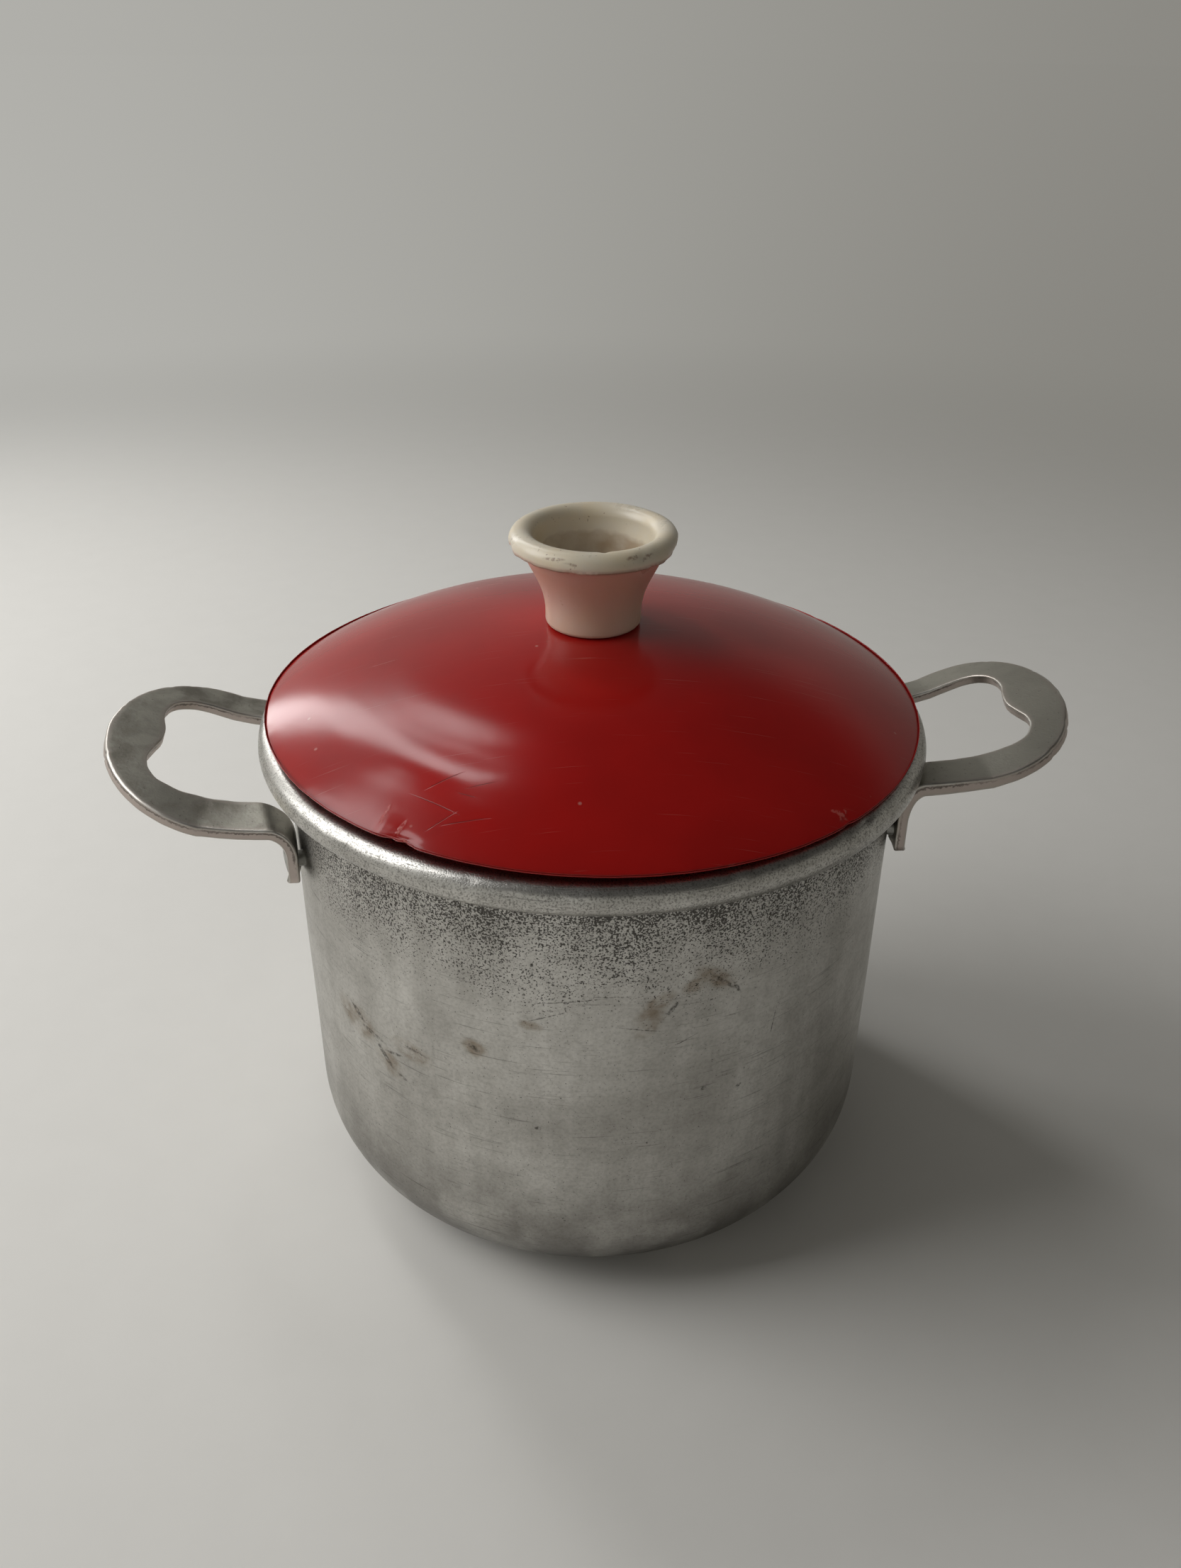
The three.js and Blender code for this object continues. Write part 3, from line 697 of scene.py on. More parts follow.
def stamped_aluminium():
    """Aluminium strip, blanked and pierced in a press, then handled for years.

    The eye sees a dull warm-grey face with soft tarnish, heavier on the left handle, and a few dark specks,
    paler sheared sides with a dark torn line below the upper edge, and edges rubbed bright in places.
    """
    handle = settings().handle
    material, tree, shader, place = start_material("aluminium_stamped_tarnished", {"Metallic": 1.0})
    edge, side, depth = [add(tree, "ShaderNodeAttribute", attribute_name=layer).outputs["Fac"]
                         for layer in STRIP_LAYERS]
    cloud = mottling(tree, place, 5.0, 6.0, roughness=0.6, distortion=0.3)
    grain = mottling(tree, place, 0.3, 3.0)
    patch = ramp(tree, cloud, 0.4, 0.62)
    used = ramp(tree, add(tree, "ShaderNodeSeparateXYZ", {0: place}), -10 * MM, 10 * MM, 1.0, 0.3)
    tarnish = times(tree, patch, used)
    speck = ramp(tree, grain, 0.66, 0.72)

    # The press tears the sheet about a third of the way down, in a ragged line
    wobble = scaled(tree, grain, 0.5, depth)
    off_tear = minus(tree, wobble, 0.56)
    from_tear = add(tree, "ShaderNodeMath", {0: off_tear}, operation="ABSOLUTE")
    torn = ramp(tree, from_tear, 0.13, 0.04)
    patchy = ramp(tree, cloud, 0.36, 0.52)
    some = times(tree, torn, patchy)
    tear = times(tree, some, side)

    face = paint(tree, tarnish, handle.metal, "827E74")
    darkened = paint(tree, speck, face, "3B3832", strength=0.5)
    cut = paint(tree, side, darkened, handle.sheared)
    ripped = paint(tree, tear, cut, "4A4540", strength=0.75)
    touched = scaled(tree, cloud, 0.8, edge)
    rubbed = ramp(tree, touched, 1.3, 1.55)
    surface = paint(tree, rubbed, ripped, "D6D4CE")
    dull = ramp(tree, cloud, 0.3, 0.7, 0.38, 0.52)
    gloss = scaled(tree, rubbed, -0.12, dull)
    relief = scaled(tree, tear, -0.8, grain)
    coat(tree, shader, surface, gloss, relief, strength=0.35, depth=0.05)
    return material


def rivet_aluminium():
    """Soft aluminium rivet stock, headed and peened: dull, with small hammer marks and grey grime."""
    metal = settings().rivet.metal
    material, tree, shader, place = start_material("aluminium_rivet_peened", {"Metallic": 1.0})
    cloud = mottling(tree, place, 1.2, 5.0)
    grime = ramp(tree, cloud, 0.42, 0.7)
    surface = paint(tree, grime, metal, "6A6862")
    gloss = ramp(tree, cloud, 0.0, 1.0, 0.3, 0.55)
    blows = add(tree, "ShaderNodeTexVoronoi", {"Vector": place, "Scale": per(0.8)}, feature="SMOOTH_F1")
    coat(tree, shader, surface, gloss, blows, strength=0.5, depth=0.06)
    return material


# Marks on the lid: distance from the axis in millimetres, degrees round it, length, width, and turn in degrees
LID_SCUFFS = (
    (34.6, -128.9, 2.6, 0.5, 62),
    (35.4, -124.9, 2.4, 0.5, 48),
    (36.3, -123.0, 2.2, 0.8, -35),
    (35.8, -50.9, 1.9, 0.6, 60),
    (35.7, -51.2, 1.7, 0.5, -20),
    (35.2, -51.6, 1.2, 0.5, 15),
)
LID_SCRATCHES = (
    (29.7, -122.6, 4.6, 0.14, 16),
    (29.2, -115.3, 3.4, 0.12, 4),
    (30.6, -117.0, 2.4, 0.12, -28),
    (33.1, -115.0, 5.2, 0.12, -4),
    (32.2, -122.0, 6.5, 0.1, -38),
    (33.6, -119.0, 4.0, 0.1, 22),
)


def dome_height(r):
    lid = settings().lid
    return lid.apex - lid.rise * (r / lid.radius) ** lid.fullness


def lid_spot(distance, degrees, long, wide, tilt):
    """A spot on the dome; sizes in millimetres."""
    angle = math.radians(degrees)
    reach = distance * MM
    centre = Vector((reach * math.cos(angle), reach * math.sin(angle), dome_height(reach)))
    return centre, (0.0, 0.0, math.radians(tilt)), Vector((long, wide, LID_SPOT_DEPTH)) * MM / 2


def moulded_red():
    """Injection-moulded polystyrene, self-coloured red and glossy.

    The eye sees sharp window reflections on a slightly uneven skin, hair scratches, bruised paler plastic
    where the edge is chipped, and a few specks of dust.
    """
    lid = settings().lid
    material, tree, shader, place = start_material("polystyrene_moulded_red", {"IOR": 1.5, "Specular IOR Level": 0.4})
    cloud = mottling(tree, place, 16.0, 4.0)
    shade = ramp(tree, cloud, 0.35, 0.7)
    grain = mottling(tree, place, 0.5, 3.0)
    broken = ramp(tree, grain, 0.4, 0.56)
    scuffed = blotch(tree, place, [lid_spot(*mark) for mark in LID_SCUFFS])
    scuff = times(tree, scuffed, broken)
    scratched = blotch(tree, place, [lid_spot(*mark) for mark in LID_SCRATCHES])
    hairs = streaks(tree, place, (9.0, 0.22, 9.0), 2.0, turn_by=(0.0, 0.0, 0.6))
    hair = ramp(tree, hairs, 0.68, 0.76)
    cells = add(tree, "ShaderNodeTexVoronoi", {"Vector": place, "Scale": per(5.0), "Randomness": 1.0})
    dust = ramp(tree, cells.outputs["Distance"], 0.05, 0.025)

    deep = paint(tree, shade, lid.red, "8E120F")
    cut = paint(tree, scratched, deep, "4A0B0A", strength=0.7)
    bruised = paint(tree, scuff, cut, lid.scuffed, strength=0.6)
    dusty = scaled(tree, hair, 0.35, dust)
    surface = paint(tree, dusty, bruised, "D8B5A8", strength=0.28)
    skin = ramp(tree, cloud, 0.3, 0.7, 0.14, 0.22)
    haired = scaled(tree, hair, 0.08, skin)
    gloss = scaled(tree, scuff, 0.35, haired)
    peel = mottling(tree, place, 2.6, 2.0)
    soft = times(tree, peel, 0.3)
    torn = scaled(tree, scuff, 0.8, soft)
    relief = scaled(tree, scratched, -0.6, torn)
    coat(tree, shader, surface, gloss, relief, strength=0.5, depth=0.06)
    return material


# Grimy marks on the knob's lip: degrees round it, drop below its top, length and width in millimetres, and tilt
LIP_MARKS = (
    (-121, 0.75, 3.2, 0.4, 6),
    (-109, 1.0, 2.2, 0.35, -4),
    (-68, 0.55, 1.6, 0.5, 0),
    (-56, 0.7, 1.8, 0.6, 10),
    (-172, 2.0, 1.6, 1.0, 0),
    (-6, 1.5, 5.0, 2.2, 8),
    (112, 1.2, 2.0, 0.6, 0),
)


def lip_spot(degrees, drop, long, wide, tilt):
    """A spot on the outer half of the knob's lip; sizes in millimetres."""
    knob = settings().knob
    out, turn_by = facing_spot(degrees, tilt)
    inset = knob.bead - math.sqrt(max(knob.bead ** 2 - (drop * MM - knob.bead) ** 2, 0.0))
    centre = out * (knob.lip - inset) + Vector((0.0, 0.0, KNOB_HIGH.z - drop * MM))
    return centre, turn_by, Vector((long, wide, LIP_SPOT_DEPTH)) * MM / 2


def moulded_cream():
    """Injection-moulded cream plastic, yellowed, half glossy.

    The eye sees a soft skin that lets a little light in, a flare with painted red bounce light from the lid, brown
    grime in the cup, a dirty broken line under the lip where the mould parted, and dark pinpricks along the lip.
    """
    knob = settings().knob
    low = KNOB_LOW.z
    high = KNOB_HIGH.z
    material, tree, shader, place = start_material("polystyrene_moulded_cream", {
        "IOR": 1.55, "Subsurface Weight": 0.12, "Subsurface Radius": (1.0, 0.7, 0.45),
        "Subsurface Scale": 0.6 * MM})
    height, radius = on_section(tree, place)
    cloud = mottling(tree, place, 4.0, 5.0)
    yellow = ramp(tree, cloud, 0.38, 0.7)
    grain = mottling(tree, place, 0.45, 3.0)

    # Grime in the cup, up to an uneven line below the lip
    cup_mouth = knob.lip - 2 * knob.bead
    middle = ramp(tree, height, low + knob.floor, high - knob.bead, knob.base - 0.4 * MM, cup_mouth + knob.bead)
    inward = minus(tree, middle, radius)
    in_cup = ramp(tree, inward, 0.0, 0.3 * MM)
    tide = scaled(tree, cloud, 3.0 * MM, height)
    deep = ramp(tree, tide, high - 1.3 * MM, high - 1.7 * MM)
    cup = times(tree, in_cup, deep)
    above = ramp(tree, height, low + knob.floor - 0.4 * MM, low + knob.floor - 0.1 * MM)
    settled = times(tree, cup, above)
    mottled = ramp(tree, cloud, 0.2, 0.6)
    grime = times(tree, settled, mottled)

    # Parting line where the lip meets the flare, and pinpricks on the lip
    seam_at = high - knob.bead * (1 - math.sin(math.radians(knob.lip_edge))) - 0.2 * MM
    off = minus(tree, height, seam_at)
    away = add(tree, "ShaderNodeMath", {0: off}, operation="ABSOLUTE")
    near = ramp(tree, away, 0.6 * MM, 0.1 * MM)
    outer = ramp(tree, radius, cup_mouth + 0.2 * MM, cup_mouth + 0.5 * MM)
    line_grime = times(tree, near, outer)
    blur = scaled(tree, grain, 0.6, cloud)
    gaps = ramp(tree, blur, 0.58, 0.8)
    parting = times(tree, line_grime, gaps)
    on_lip = ramp(tree, height, seam_at, seam_at + 0.8 * MM)
    prick = ramp(tree, grain, 0.68, 0.74)
    pricks = times(tree, prick, on_lip)
    smeared = blotch(tree, place, [lip_spot(*mark) for mark in LIP_MARKS])
    broken = ramp(tree, grain, 0.4, 0.6, high=0.8)
    smear = times(tree, smeared, broken)
    spotted = most(tree, pricks, smear)
    dirt = most(tree, parting, spotted)

    # Painted red bounce light: the flare is coloured pink where the red lid throws light up onto it, most of all under
    # the lip
    uneven = scaled(tree, cloud, 1.2 * MM, height)
    under_lip = ramp(tree, uneven, seam_at + 1.3 * MM, seam_at + 0.1 * MM)
    climb = ramp(tree, height, low, seam_at, 0.3, 0.68)
    red_bounce_share = times(tree, under_lip, climb)
    painted_red_bounce = minus(tree, red_bounce_share, in_cup, use_clamp=True)

    cream = paint(tree, yellow, knob.cream, "D2C09C", strength=0.5)
    # C47F73 is painted red bounce light from the lid, laid over the cream
    pink = paint(tree, painted_red_bounce, cream, "C47F73")
    brown = paint(tree, grime, pink, "8A6C4A", strength=0.68)
    surface = paint(tree, dirt, brown, knob.dirt, strength=0.8)
    skin = ramp(tree, cloud, 0.3, 0.7, 0.26, 0.4)
    gloss = scaled(tree, grime, 0.3, skin)
    soft = times(tree, grain, 0.25)
    relief = scaled(tree, dirt, -0.6, soft)
    coat(tree, shader, surface, gloss, relief, strength=0.4, depth=0.06)
    return material


def surround_tone(tree, way):
    """The pale surround's colour in that direction, which fades from left to right: light in the world, and painted
    light on the far floor.
    """
    stage = settings().stage
    across = add(tree, "ShaderNodeVectorMath", {0: way}, operation="NORMALIZE")
    share = ramp(tree, add(tree, "ShaderNodeSeparateXYZ", {0: across}), -0.6, 0.7, smooth=True)
    return paint(tree, share, stage.horizon_left, stage.horizon_right)


def studio_paper():
    """Matt pale paper: the faintest tooth near the pot, and farther out it glows in the surround's tone, lighter at the
    left: painted light, not lit paper.
    """
    material, tree, shader, place = start_material("paper_matt_pale", {"Roughness": 0.95, "Specular IOR Level": 0.1})
    tooth = mottling(tree, place, 6.0, 3.0)
    share = ramp(tree, tooth, 0.0, 1.0, high=0.12)
    stage = settings().stage
    surface = paint(tree, share, stage.paper, "C2C0BA")
    feed(tree, shader, Base_Color=surface)
    # Painted light: from the melt start outward, camera, glossy and transmission rays see the paper glowing in the
    # surround's tone, lighter at the left and darker at the right, in place of its lit colour
    out = add(tree, "ShaderNodeVectorMath", {0: place}, operation="LENGTH").outputs["Value"]
    far = ramp(tree, out, stage.melt_start, stage.melt_end, smooth=True)
    ray = add(tree, "ShaderNodeLightPath").outputs
    direct = most(tree, ray["Is Camera Ray"], ray["Is Glossy Ray"])
    seen = most(tree, direct, ray["Is Transmission Ray"])
    painted_glow_share = times(tree, far, seen)
    glow = add(tree, "ShaderNodeEmission", {"Color": surround_tone(tree, place)})
    both = add(tree, "ShaderNodeMixShader", {0: painted_glow_share, 1: shader, 2: glow})
    feed(tree, tree.nodes["Material Output"], Surface=both)
    return material


# Pieces


def pot_profile():
    """Outside from the base's middle to the rim, round the open curl, and back down the inside."""
    pot = settings().pot
    wall = wall_radius()
    bore = wall - pot.sheet
    foot = (wall - pot.foot, pot.foot)
    curl = (bore + pot.curl, pot.height - pot.curl)
    curl_end = 180 - math.degrees(pot.curl_turn)
    under_curl = arc(curl, pot.curl - pot.sheet, 180, curl_end, 22)
    over_curl = arc(curl, pot.curl, curl_end, 180, 40)
    outside_foot = arc(foot, pot.foot, -90, 0, 20)
    inside_foot = arc(foot, pot.foot - pot.sheet, 0, -90, 14)
    return [
        (0.0, 0.0),
        *line((0.0, 0.0), outside_foot[0], 4),
        *outside_foot,
        *line(outside_foot[-1], under_curl[0], 36),
        *under_curl,
        *over_curl,
        *line(over_curl[-1], inside_foot[0], 14),
        *inside_foot,
        *line(inside_foot[-1], (0.0, pot.sheet), 4),
        (0.0, pot.sheet),
    ]


def wear_pot(place, normal):
    """Shallow dents that both sides of the sheet share, and nicks on the crown of the rim."""
    pot = settings().pot
    out = Vector((place.x, place.y, 0.0))
    if out.length < pot.foot:
        return Vector()
    dent_size = 17 * MM
    nick_size = 1.3 * MM
    nick_patch = 9 * MM
    dented = 0.5 + 0.5 * rough(place, dent_size, layer=3.0)
    inward = -out.normalized() * pot.dent * dented * ease(place.z, 0.0, pot.foot)
    on_rim = ease(place.z, pot.height - 1.6 * pot.curl, pot.height - pot.curl)
    facing_out = ease(normal.dot((place - Vector((0, 0, 0.5 * pot.height))).normalized()), -0.2, 0.3)
    nicked = ease(rough(place, nick_size, layer=7.0), 0.2, 0.7) * ease(rough(place, nick_patch, layer=5.0), -0.4, 0.4)
    return inward - normal * pot.nick * nicked * on_rim * facing_out


class TOYPOT_OT_pot(bpy.types.Operator):
    """Builds the drawn pot with its rolled rim"""

    bl_idname = "toy_pot.pot"
    bl_label = "Drawn Pot"

    def execute(self, context):
        piece = turn("pot_shell", pot_profile(), settings().pot.facets, drawn_aluminium())
        shift(piece.data, wear_pot)
        settle(piece, "pot", "drawn_aluminium", "pot_body")
        return {"FINISHED"}


def strip_section(width):
    """Points round the strip's cross-section: distance from its inner edge, height, edge wear and shear."""
    handle = settings().handle
    half = handle.sheet / 2
    roll = handle.die_roll
    burr = handle.burr
    corner_steps, face_steps, side_steps = 5, 9, 6
    corners = (
        ((width - roll, half - roll), roll, 90),
        ((width - burr, burr - half), burr, 0),
        ((burr, burr - half), burr, -90),
        ((roll, half - roll), roll, 180),
    )
    points = []
    for corner, (centre, radius, start) in enumerate(corners):
        points += [(a, n, 1.0, 0.5) for a, n in arc(centre, radius, start, start - 90, corner_steps)]
        following = corners[(corner + 1) % len(corners)]
        first = arc(following[0], following[1], following[2], following[2], 1)[0]
        crosses = corner in (1, 3)
        shear = 0.0 if crosses else 1.0
        points += [(a, n, 0.0, shear) for a, n in line(points[-1][:2], first, face_steps if crosses else side_steps)]
    return points


def strip_path():
    """Stations from the end of one tab to the middle of the loop: inner edge, outer edge and face normal."""
    handle = settings().handle
    wall = wall_radius()
    inner_y = handle.half_width - handle.leg_width
    outer_y = handle.half_width
    bend = handle.bend + handle.sheet / 2
    tab_x = wall + handle.seat + handle.sheet / 2
    bend_x = tab_x + bend
    leg_z = handle.tab_drop - handle.sheet / 2
    loop_x = wall + handle.leg_length

    def on_wall(x, y, z, hug=1.0):
        return Vector((x - hug * (wall - math.sqrt(wall ** 2 - y ** 2)), y, z))

    def rise(x):
        u = x - wall - handle.rise_start
        return handle.slope * (u + math.hypot(u, handle.rise_ease)) / 2

    def face_normal(x):
        u = x - wall - handle.rise_start
        slope = handle.slope * (1 + u / math.hypot(u, handle.rise_ease)) / 2
        return Vector((-slope, 0.0, 1.0)).normalized()

    def face_z(x):
        return leg_z + rise(x) - rise(bend_x)

    stations = []
    tab_steps, bend_steps, leg_steps, loop_steps = 8, 20, 12, 64
    toward_wall = Vector((-1.0, 0.0, 0.0))
    for i in range(tab_steps + 1):
        angle = math.pi / 2 * i / tab_steps
        narrower = handle.tab_rounding * (1 - math.sin(angle))
        z = handle.tab_rounding * (1 - math.cos(angle))
        stations.append((on_wall(tab_x, inner_y + narrower, z),
                         on_wall(tab_x + handle.stand_off, outer_y - narrower, z), toward_wall))
    for i in range(bend_steps + 1):
        angle = math.pi / 2 * i / bend_steps
        x = bend_x - bend * math.cos(angle)
        z = leg_z - bend * (1 - math.sin(angle))
        normal = Vector((-math.cos(angle), 0.0, math.sin(angle)))
        drop = handle.edge_drop * math.sin(angle) ** 2
        stand_off = handle.stand_off * math.cos(angle)
        stations.append((on_wall(x, inner_y, z), on_wall(x + stand_off, outer_y, z) - normal * drop, normal))
    for i in range(1, leg_steps):
        share = i / leg_steps
        x = bend_x + (loop_x - bend_x) * share
        z = face_z(x)
        stations.append((on_wall(x, inner_y, z, 1 - share), on_wall(x, outer_y, z - handle.edge_drop, 1 - share),
                         face_normal(x)))
    reach = handle.end - loop_x
    hole_reach = wall + handle.hole_reach - loop_x
    power = 2 / handle.hole_squareness
    for i in range(loop_steps + 1):
        angle = math.pi / 2 * i / loop_steps
        cosine = max(math.cos(angle), 0.0)
        hole_y = inner_y * cosine ** power
        bulge = handle.bump * math.exp(-(hole_y / handle.bump_spread) ** 2)
        hole_x = loop_x + hole_reach * math.sin(angle) ** power - bulge
        out_x = loop_x + reach * math.sin(angle)
        stations.append((Vector((hole_x, hole_y, face_z(hole_x))),
                         Vector((out_x, outer_y * cosine, face_z(out_x) - handle.edge_drop)),
                         face_normal((hole_x + out_x) / 2)))
    return stations


# How the handles were bent in use: front and rear lift in millimetres at the legs, then at the loop's end
HANDLE_LIFTS = {"left": ((0.0, -0.1), (-0.1, 0.9)), "right": ((1.7, -0.9), (1.0, 0.6))}
# How far each leg was pinched towards the other, in millimetres
HANDLE_PINCH = {"left": 0.0, "right": 1.0}
# Share of the lift and pinch that the riveted tabs keep
TAB_SHARE = 0.25


def bent(side, place, tab_end):
    """How far a point of a handle was pinched sideways and bent up, fading out down the tabs."""
    handle = settings().handle
    rear = min(max(0.5 + 0.5 * place.y / handle.half_width, 0.0), 1.0)
    at_legs, at_end = [front + (back - front) * rear for front, back in HANDLE_LIFTS[side]]
    along = ease(abs(place.x), wall_radius() + 2 * MM, handle.end)
    off_tab = TAB_SHARE + (1 - TAB_SHARE) * ease(place.z - tab_end, 0.3 * handle.tab_drop, handle.tab_drop)
    pinch = HANDLE_PINCH[side] * place.y / handle.half_width * ease(abs(place.x), handle.end, wall_radius() + 4 * MM)
    return Vector((0.0, -pinch, at_legs + (at_end - at_legs) * along)) * off_tab * MM


def handle_mesh(name, side, tab_end, facing):
    """One handle as a closed strip; facing is 1 for the right-hand side and -1 for the left."""
    handle = settings().handle
    half = strip_path()
    mirrored = [tuple(Vector((p.x, -p.y, p.z)) for p in station) for station in half]
    stations = mirrored + half[-2::-1]
    rows = []
    for inner, outer, normal in stations:
        across = outer - inner
        width = across.length
        across.normalize()
        wander_in = rough(inner, 1.6 * MM, layer=facing) * handle.raggedness
        nick = ease(rough(outer, 1.1 * MM, layer=facing + 8), 0.3, 0.6) * ease(abs(outer.x), wall_radius(), handle.end)
        wander_out = (abs(rough(outer, 2.2 * MM, layer=facing + 4)) + 1.2 * nick) * handle.raggedness
        inner = inner + across * wander_in
        row = []
        for distance, rise, wear, shear in strip_section(width - wander_in - wander_out):
            place = inner + across * distance + normal * rise
            place = Vector((facing * place.x, facing * place.y, place.z + tab_end))
            place += bent(side, place, tab_end)
            row.append((place, wear, shear, 0.5 - rise / handle.sheet))
        rows.append(row)
    count = len(rows[0])
    faces = []
    for i in range(len(rows) - 1):
        for j in range(count):
            k = (j + 1) % count
            faces.append((i * count + j, i * count + k, (i + 1) * count + k, (i + 1) * count + j))
    faces.append(tuple(range(count - 1, -1, -1)))
    faces.append(tuple(range((len(rows) - 1) * count, len(rows) * count)))
    mesh = bpy.data.meshes.new(name)
    points = [point for row in rows for point in row]
    mesh.from_pydata([point[0] for point in points], [], faces)
    for column, label in enumerate(STRIP_LAYERS, 1):
        layer = mesh.attributes.new(label, "FLOAT", "POINT")
        layer.data.foreach_set("value", [point[column] for point in points])
    mesh.shade_smooth()
    return mesh


class TOYPOT_OT_handles(bpy.types.Operator):
    """Builds the two stamped handles"""

    bl_idname = "toy_pot.handles"
    bl_label = "Stamped Handles"

    def execute(self, context):
        finish = stamped_aluminium()
        for side, facing in (("left", -1), ("right", 1)):
            node = f"handle_{side}"
            mesh = handle_mesh(f"{node}_strip", side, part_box(node)[0].z, facing)
            mesh.materials.append(finish)
            close_outward(mesh)
            settle(new_object(mesh.name, mesh), "pot", "stamped_aluminium", node)
        return {"FINISHED"}


class TOYPOT_OT_rivets(bpy.types.Operator):
    """Builds the four handle rivets"""

    bl_idname = "toy_pot.rivets"
    bl_label = "Handle Rivets"

    def execute(self, context):
        rivet = settings().rivet
        nodes = [f"handle_rivet_{side}_{end}" for side in ("left", "right") for end in ("front", "rear")]
        bore = wall_radius() - settings().pot.sheet - settings().pot.dent / 2
        places = []
        axes = []
        for node in nodes:
            low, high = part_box(node)
            middle = (low + high) / 2
            out = Vector((middle.x, middle.y, 0.0)).normalized()
            side = "left" if middle.x < 0 else "right"
            tab_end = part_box(f"handle_{side}")[0].z
            places.append(out * bore + Vector((0.0, 0.0, middle.z)) + bent(side, middle, tab_end))
            axes.append(out)
        tail_end = wall_radius() + rivet.tail_reach
        mesh = bpy.data.meshes.new("handle_rivets")
        mesh.from_pydata(places, [], [])
        axis = mesh.attributes.new("axis", "FLOAT_VECTOR", "POINT")
        axis.data.foreach_set("vector", [share for out in axes for share in out])
        piece = new_object("handle_rivets", mesh)
        grow(piece, rivet_tree(), {
            "Head Radius": rivet.head, "Head Height": rivet.head_height, "Shank Radius": rivet.shank,
            "Length": tail_end - bore, "Tail Radius": rivet.tail, "Tail Depth": rivet.tail_depth,
            "Facets": rivet.facets, "Finish": rivet_aluminium()})
        close_outward(piece.data)
        settle(piece, "pot", "rivet_aluminium", *nodes)
        return {"FINISHED"}


def lid_profile():
    """Dome from the rivet hole to the edge, the seat, the locating ring, and back under the dome."""
    lid = settings().lid
    seat = lid.apex - lid.rise - lid.edge
    ring_in = lid.ring - lid.ring_wall
    lead = lid.ring_wall / 4
    end = LID_LOW.z
    top_steps, under_steps = 90, 24
    top = []
    for i in range(top_steps + 1):
        r = lid.hole + (lid.radius - lid.hole) * math.sin(math.pi / 2 * i / top_steps)
        top.append((r, dome_height(r)))
    edge = arc((lid.radius - lid.edge / 2, seat + lid.edge / 2), lid.edge / 2, 45, -90, 8)
    under = []
    for i in range(under_steps + 1):
        r = ring_in + (lid.hole - ring_in) * i / under_steps
        under.append((r, dome_height(r) - lid.wall))
    ring = arc((lid.ring - lead, end + lead), lead, 0, -90, 4)
    ring += arc((ring_in + lead, end + lead), lead, -90, -180, 4)
    corner = (lid.ring, seat)
    return [*top[:-1], *edge, *line(edge[-1], corner, 6), corner, *ring, *under]


# Degrees round the lid where its edge has sprung up, where it is folded, and where a flap is torn
LID_SPRUNG_AT = -143.0
LID_FOLDS_AT = -130.0
LID_FLAP_AT = -127.0
# Chips in the lid's edge: degrees round it, width and depth in millimetres
LID_CHIPS = ((-123.0, 1.1, 0.55), (-125.6, 0.8, 0.3), (-51.0, 0.6, 0.25), (34.0, 0.7, 0.2))


def wear_lid(place, normal):
    """A sprung edge, folds and a torn chip at the front left, and a slightly ragged edge all round."""
    lid = settings().lid
    reach = math.hypot(place.x, place.y)
    out = Vector((place.x, place.y, 0.0)).normalized()
    sprung = max(math.cos(math.radians(bearing(place) - LID_SPRUNG_AT)), 0.0) ** 1.5
    move = Vector((0.0, 0.0, lid.warp * sprung * ease(reach, 0.3 * lid.radius, lid.radius)))
    skin = ease(normal.z, 0.2, 0.6)
    round_way = arc_from(place, LID_FOLDS_AT)
    fold_spread = 19 * MM
    fold_across, fold_along = 5.2 * MM, 13 * MM
    crease_across, crease_along = 2.6 * MM, 8 * MM
    roll_width = 10 * MM
    sector = math.exp(-(round_way / fold_spread) ** 2) * ease(reach, 18 * MM, 27 * MM)
    fold = noise.noise(Vector((reach / fold_across, round_way / fold_along, 4.2)))
    crease = noise.noise(Vector((reach / crease_across, round_way / crease_along, 8.4)))
    crease *= ease(reach, 26 * MM, 31 * MM)
    wave = rough(Vector((place.x, place.y, 0.0)), 14 * MM, layer=2.0)
    lower = (0.5 + 0.5 * wave) * 0.2 + (0.5 + 0.38 * fold + 0.12 * crease) * sector
    move -= normal * lower * lid.ripple * skin
    move.z -= lid.roll * skin * max((reach - lid.radius) / roll_width + 1, 0.0) ** 3
    on_edge = ease(reach, lid.radius - 1.4 * MM, lid.radius - 0.1 * MM)
    for degrees, width, depth in LID_CHIPS:
        near = math.exp(-(arc_from(place, degrees) / (width * MM)) ** 2)
        move -= out * near * depth * MM * on_edge * (0.75 + 0.5 * rough(place, 0.5 * MM, layer=9.0))
    flap = ease(abs(arc_from(place, LID_FLAP_AT)), 1.35 * MM, 0.85 * MM)
    flap *= ease(reach, lid.radius - 2.6 * MM, lid.radius)
    move += normal * lid.flake * flap * skin
    raggedness = 0.06 * MM
    ragged = 0.5 + 0.5 * rough(place, 1.4 * MM, layer=11.0)
    return move - out * ragged * raggedness * on_edge


class TOYPOT_OT_lid(bpy.types.Operator):
    """Builds the moulded lid"""

    bl_idname = "toy_pot.lid"
    bl_label = "Moulded Lid"

    def execute(self, context):
        profile = lid_profile()
        piece = turn("lid_dome", profile + profile[:1], settings().lid.facets, moulded_red())
        shift(piece.data, wear_lid)
        settle(piece, "lid", "red_plastic", "lid")
        return {"FINISHED"}


